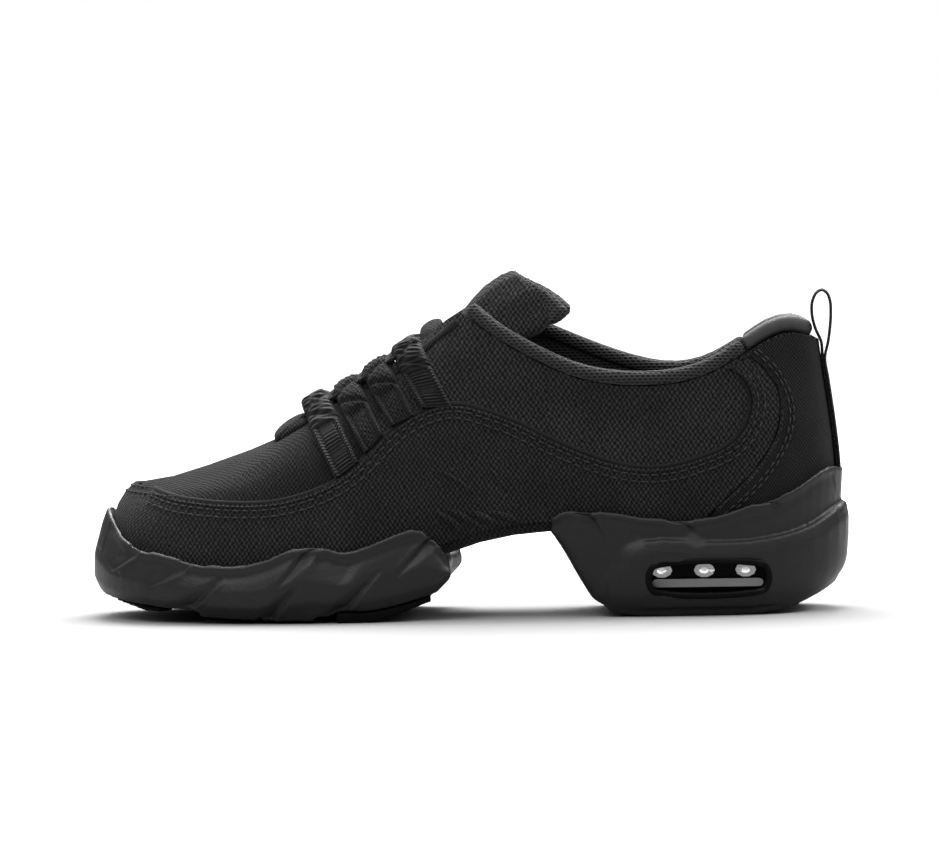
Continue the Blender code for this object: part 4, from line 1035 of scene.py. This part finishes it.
class SHOE_OT_lacing(bpy.types.Operator):
    """Webbing straps with rails and ribs, the lace and the pull loop"""
    bl_idname = "shoe.lacing"
    bl_label = "Lacing"

    def laid(self, tree, corners, side):
        """Points of a strap in mm on the canvas, carried on where the canvas ends."""
        a0, a1, b0, b1 = corners
        base = np.zeros((STRAP_ROWS + 1, STRAP_COLS + 1, 3))
        for i in range(STRAP_ROWS + 1):
            t = i / STRAP_ROWS
            for j in range(STRAP_COLS + 1):
                c = j / STRAP_COLS
                p = (a0 * (1 - c) + a1 * c) * (1 - t) + (b0 * (1 - c) + b1 * c) * t
                hit, _ = from_side(tree, *p, side, FAR)
                base[i, j] = (p[0], -1 if hit is None else abs(hit.y) / MM + 0.9, p[1])
        for column in base.transpose(1, 0, 2):
            good = np.nonzero(column[:, 1] > 0)[0]
            first, last = (good[0], good[-1]) if len(good) else (0, 0)
            column[:first, 1] = column[first, 1]
            carried(column, last)
            jump = np.nonzero(np.abs(np.diff(column[:, 1])) > 1.2)[0]
            if len(jump) and jump[0] > STRAP_ROWS * 0.5:
                carried(column, jump[0])
        levelled(base[..., 1], 10)
        base[..., 1] *= side
        return base

    def height(self, t, c, along, length, wide, woven):
        """How far the webbing stands off: rails and ribs below, a full band above, a crease at both its ends."""
        band = 1 - 9.0 / length
        width = (c - 0.5) * wide
        off = abs(c - 0.5)
        in_band = np.clip((t - band) * length / 1.2 + 0.5, 0, 1)
        rail = np.exp(-((off - 0.41) * wide / 0.9)**2)
        middle = np.clip((0.29 - off) * 14, 0, 1)
        if woven:
            rib, fold = (0.5 + 0.5 * sin(2 * pi * along / step) * sin(2 * pi * width / step) for step in (2.1, 2.0))
        else:
            rib = 0.5 + 0.5 * cos(2 * pi * along / 1.25)
            fold = 0.5 + 0.5 * cos(2 * pi * (along + 0.25 * width) / 1.3)
        crown = max(1.0 - ((along / length - band) * length / 12.0 * 2 - 1)**2, 0.0)
        h = (1 - in_band) * (1.5 * rail + middle * (0.5 + 0.45 * rib)) \
            + in_band * (1.7 + 2.0 * crown + 0.50 * fold - 1.9 * (off * 2)**3)
        for mark, lean in ((band * length + 2.4, 0.35), (band * length + 6.6, -0.30)):
            h -= 1.1 * np.exp(-((along - mark + lean * width) / 0.7)**2)
        return h

    def strap(self, index, node, side):
        """Ribbed webbing: a flat lower part with two rails, and a fold round the lace at the top."""
        rows, curl, cols = STRAP_ROWS, STRAP_CURL, STRAP_COLS
        a0, a1, b0, b1 = (np.array(p) for p in STRAPS[index])
        length = np.linalg.norm((b0 + b1 - a0 - a1) / 2)
        a0, a1, b0, b1 = (a0 * 0.94 + a1 * 0.06, a1 * 0.92 + a0 * 0.08, b0 * 0.97 + b1 * 0.03, b1 * 0.97 + b0 * 0.03)
        wide = np.linalg.norm((a1 + b1 - a0 - b0) / 2)
        base = self.laid(node_tree("upper"), (a0, a1, b0, b1), side)
        du = np.gradient(base, axis=0)
        normal = unit(np.cross(np.gradient(base, axis=1), du) * -side)
        if normal[rows // 2, cols // 2, 1] * side < 0:
            normal = -normal
        bm = bmesh.new()
        uv = bm.loops.layers.uv.new("webbing")
        woven = index in (1, 2)
        grid = []
        for i in range(rows + curl + 1):
            ring = []
            k = min(i, rows)
            t = k / rows
            for j in range(cols + 1):
                c = j / cols
                p, n, along = base[k, j], normal[k, j], t * length
                if i > rows:
                    up = du[k, j] / np.linalg.norm(du[k, j])
                    turn = (i - rows) / curl * pi * 1.05
                    centre = base[rows, j] - n * FOLD_ROUND
                    p = centre + n * (FOLD_ROUND * cos(turn)) + up * (FOLD_ROUND * sin(turn))
                    n = n * cos(turn) + up * sin(turn)
                    along += (i - rows) / curl * FOLD_ROUND * pi
                inset = min(j, cols - j)
                h = self.height(t, c, along, length, wide, woven) * (0.55, 0.8, 0.95, 1.0)[min(inset, i, 3)]
                h -= 0.0 if inset else 1.3
                ring.append((bm.verts.new((p + n * h) * MM), (c - 0.5) * wide * MM, along * MM))
            grid.append(ring)
        for i in range(rows + curl):
            for j in range(cols):
                cell = [grid[i][j], grid[i][j + 1], grid[i + 1][j + 1], grid[i + 1][j]]
                face = bm.faces.new([c[0] for c in cell])
                for corner, c in zip(face.loops, cell):
                    corner[uv].uv = (c[1], c[2])
        bm.faces.ensure_lookup_table()
        if bm.faces[(rows // 2) * cols + cols // 2].normal.y * side < 0:
            bmesh.ops.reverse_faces(bm, faces=bm.faces)
        mesh = place(node + "_webbing", bm, "cordage" if woven else "webbing", (node,), 0).data
        mesh.polygons.foreach_set("use_smooth", np.ones(len(mesh.polygons), bool))

    def execute(self, context):
        for index in range(4):
            self.strap(index, "lace_loop_outer_%d" % (index + 1), -1.0)
            self.strap(index, "lace_loop_inner_%d" % (index + 1), 1.0)
        cord = welded("lace")
        tail = [v for v in cord.verts if v.co.x < CORD_END]
        bmesh.ops.delete(cord, geom=tail, context="VERTS")
        bmesh.ops.holes_fill(cord, edges=[e for e in cord.edges if e.is_boundary], sides=0)
        softened(place("flat_lace", cord, "cordage", ("lace",), 0), 0.45 * MM, 2)
        upper = node_tree("upper")
        bar = bmesh.new()
        self.front_bar(bar, upper)
        self.crossings(bar)
        place("lace_bar", bar, "cordage", (), 80.0)
        self.pull_loop(upper)
        return {"FINISHED"}

    def front_bar(self, bm, upper):
        """Wide bow of the lace in front of the first loops."""
        spots = []
        for y in np.linspace(-12.5, 12.5, 44):
            hit = hit_from(upper, -0.148, y * MM * 0.7, FAR, DOWN)
            z = 68.0 if hit is None else hit.z / MM
            spots.append((-146.4 + (y / 12.5)**2 * 1.5, y, z + 2.6 - (y / 12.5)**2 * 1.4))
        tilt = np.tile(np.array((-0.54, 0.0, 0.84)), (44, 1))
        ends = np.clip((12.9 - np.abs(np.linspace(-12.5, 12.5, 44))) / 2.5, 0.3, 1)
        rod(bm, np.array(spots) * MM, tilt, 14.6 * MM * ends**0.3, 4.6 * MM * ends**0.5, 20)

    def crossings(self, bm):
        """Two crossings of the lace over the tongue, above the last loops."""
        tongue = node_tree("tongue")
        for x, wide, high, reach in ((-95.5, 9.0, 4.6, 13.5), (-103.5, 6.5, 3.6, 12.5)):
            spots = []
            for y in np.linspace(-reach, reach, 30):
                hit = hit_from(tongue, x * MM, y * MM * 0.8, FAR, DOWN)
                spots.append((x, y, np.nan if hit is None else hit.z / MM + 6.0 - (y / reach)**2 * 4.6))
            spots = np.array(spots)
            good = ~np.isnan(spots[:, 2])
            if good.sum() > 6:
                spots[:, 2] = np.interp(spots[:, 1], spots[good, 1], spots[good, 2])
                ends = np.clip((reach + 0.4 - np.abs(spots[:, 1])) / 2.5, 0.3, 1)
                tilt = np.tile(np.array((-0.5, 0.0, 0.866)), (30, 1))
                rod(bm, spots * MM, tilt, wide * MM * ends**0.3, high * MM * ends**0.5, 20)

    def pull_loop(self, upper):
        """Tape up the back of the heel, round in a loop and down again."""
        counter = node_tree("heel_counter")
        back = []
        for z in (50.0, 56.0, 62.0, 69.0, 76.0, 83.0, 90.0):
            hits = (hit_from(tree, FAR, 0.0, z * MM, (-1, 0, 0)) for tree in (upper, counter))
            back.append((max(hit.x for hit in hits if hit is not None) / MM, z))
        line = spline([(x + 0.5, z) for x, z in back] + PULL_BOW + [(x + 1.4, z) for x, z in back[::-1]], 150)
        places = np.stack([line[:, 0], np.zeros(len(line)), line[:, 1]], axis=1) * MM
        run = unit(np.gradient(places, axis=0))
        bm = bmesh.new()
        rod(bm, places, np.cross(run, np.array((0.0, 1.0, 0.0))), 8.6 * MM, 1.1 * MM, 16)
        place("heel_pull", bm, "cordage", ("pull_loop",), 60.0)


class SHOE_OT_finishes(bpy.types.Operator):
    """Give every frame node its own finish"""
    bl_idname = "shoe.finishes"
    bl_label = "Finishes"

    def execute(self, context):
        table = materials()
        for name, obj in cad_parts.items():
            obj.data.materials.clear()
            obj.data.materials.append(table[CAD_FINISH.get(name, "webbing")])
        return {"FINISHED"}


# What the camera looks at, in mm; its sensor's width in mm; what the lights are turned to, in metres.
LOOK_AT = (-82.2, 0.0, 65.7)
SENSOR = 36.0
LIT_AT = (-0.08, 0.0, 0.05)


class SHOE_OT_stage(bpy.types.Operator):
    """Pale floor, soft light and the camera at the photograph's angle"""
    bl_idname = "shoe.stage"
    bl_label = "Stage"

    def execute(self, context):
        self.camera(context)
        self.floor(context)
        self.sky(context)
        for name, spot, size, power in (
                ("top_light", (-0.10, 0.55, 0.95), 0.8, 34.0),
                ("front_light", (-0.6, -1.0, 1.1), 0.5, 5.0),
                ("heel_light", (0.8, 0.1, 0.8), 0.4, 7.0)):
            data = bpy.data.lights.new(name, "AREA")
            data.shape = "SQUARE"
            data.size = size
            data.energy = power
            light = linked(name, data)
            light.location = spot
            aim = Vector(LIT_AT) - Vector(spot)
            light.rotation_euler = aim.to_track_quat("-Z", "Y").to_euler()
        context.scene.view_settings.view_transform = "Standard"
        return {"FINISHED"}

    def camera(self, context):
        """Long lens, nearly level, a little towards the heel."""
        s = context.scene.shoe_stage
        camera_data = bpy.data.cameras.new("camera")
        camera_data.lens = s.lens
        camera_data.sensor_width = SENSOR
        camera_data.clip_end = 20.0
        camera = linked("camera", camera_data)
        target = Vector(LOOK_AT) * MM
        distance = s.lens / SENSOR * s.view_width
        away = Vector((sin(s.azimuth) * cos(s.elevation), -cos(s.azimuth) * cos(s.elevation), sin(s.elevation)))
        turn = (-away).to_track_quat("-Z", "Y").to_matrix().to_4x4()
        roll = Matrix.Rotation(-s.roll, 4, "Z")
        camera.matrix_world = Matrix.Translation(target + away * distance) @ turn @ roll
        context.scene.camera = camera

    def floor(self, context):
        """Pale floor that fades to white away from the shoe, for the camera only."""
        mesh = bpy.data.meshes.new("floor")
        bm = bmesh.new()
        bmesh.ops.create_grid(bm, x_segments=1, y_segments=1, size=40.0)
        bm.to_mesh(mesh)
        bm.free()
        linked("floor", mesh)
        white = Nodes("floor_white", (0.31, 0.31, 0.312), 0.9)
        white.set(Specular_IOR_Level=0.0, Emission_Color=(1.0, 1.0, 1.0, 1.0))
        x, y = white.place()[:2]
        along = white.mul(white.plus(x, 0.08), 0.55)
        far = white.math("SQRT", white.plus(white.mul(along, along), white.mul(y, y)))
        fade = preset(white.add("ShaderNodeMapRange", interpolation_type="SMOOTHSTEP"), From_Min=0.10, From_Max=0.34)
        white.join(far, fade.inputs["Value"])
        seen = white.add("ShaderNodeLightPath").outputs["Is Camera Ray"]
        white.join(white.mul(fade.outputs[0], seen), white.shader.inputs["Emission Strength"])
        mesh.materials.append(white.material)

    def sky(self, context):
        """White to the camera; brighter above than at the horizon as a light."""
        world = context.scene.world or bpy.data.worlds.new("world")
        context.scene.world = world
        world.use_nodes = True
        tree = world.node_tree
        dome = preset(tree.nodes["Background"], Strength=1.0)
        coord = tree.nodes.new("ShaderNodeTexCoord")
        split = tree.nodes.new("ShaderNodeSeparateXYZ")
        ramp = preset(tree.nodes.new("ShaderNodeMapRange"), From_Min=0.05, From_Max=0.95, To_Min=0.08, To_Max=2.0)
        ramp.interpolation_type = "SMOOTHSTEP"
        sight = preset(tree.nodes.new("ShaderNodeBackground"), Color=(1.0, 1.0, 1.0, 1.0))
        path = tree.nodes.new("ShaderNodeLightPath")
        mix = tree.nodes.new("ShaderNodeMixShader")
        for start, end in (
                (coord.outputs["Generated"], split.inputs[0]), (split.outputs[2], ramp.inputs["Value"]),
                (ramp.outputs[0], dome.inputs["Color"]), (path.outputs["Is Camera Ray"], mix.inputs[0]),
                (dome.outputs[0], mix.inputs[1]), (sight.outputs[0], mix.inputs[2]),
                (mix.outputs[0], tree.nodes["World Output"].inputs["Surface"])):
            tree.links.new(start, end)


class SHOE_PT_panel(bpy.types.Panel):
    """Sneaker pieces"""
    bl_label = "Sneaker"
    bl_idname = "SHOE_PT_panel"
    bl_space_type = "VIEW_3D"
    bl_region_type = "UI"
    bl_category = "Sneaker"

    def draw(self, context):
        for operator in OPERATORS:
            self.layout.operator(operator.bl_idname)


OPERATORS = (SHOE_OT_finishes, SHOE_OT_upper, SHOE_OT_soles, SHOE_OT_collar, SHOE_OT_lacing, SHOE_OT_stage)
GROUPS = (ShoeFinish, ShoeSizes, StageSettings)


def register():
    for item in GROUPS + OPERATORS + (SHOE_PT_panel,):
        bpy.utils.register_class(item)
    bpy.types.Scene.shoe_finish = bpy.props.PointerProperty(type=ShoeFinish)
    bpy.types.Scene.shoe_sizes = bpy.props.PointerProperty(type=ShoeSizes)
    bpy.types.Scene.shoe_stage = bpy.props.PointerProperty(type=StageSettings)


def unregister():
    del bpy.types.Scene.shoe_stage
    del bpy.types.Scene.shoe_sizes
    del bpy.types.Scene.shoe_finish
    for item in reversed(GROUPS + OPERATORS + (SHOE_PT_panel,)):
        bpy.utils.unregister_class(item)


def main():
    register()
    bpy.ops.shoe.finishes()
    bpy.ops.shoe.upper()
    bpy.ops.shoe.soles()
    bpy.ops.shoe.collar()
    bpy.ops.shoe.lacing()
    bpy.ops.shoe.stage()


if __name__ == "__main__":
    main()
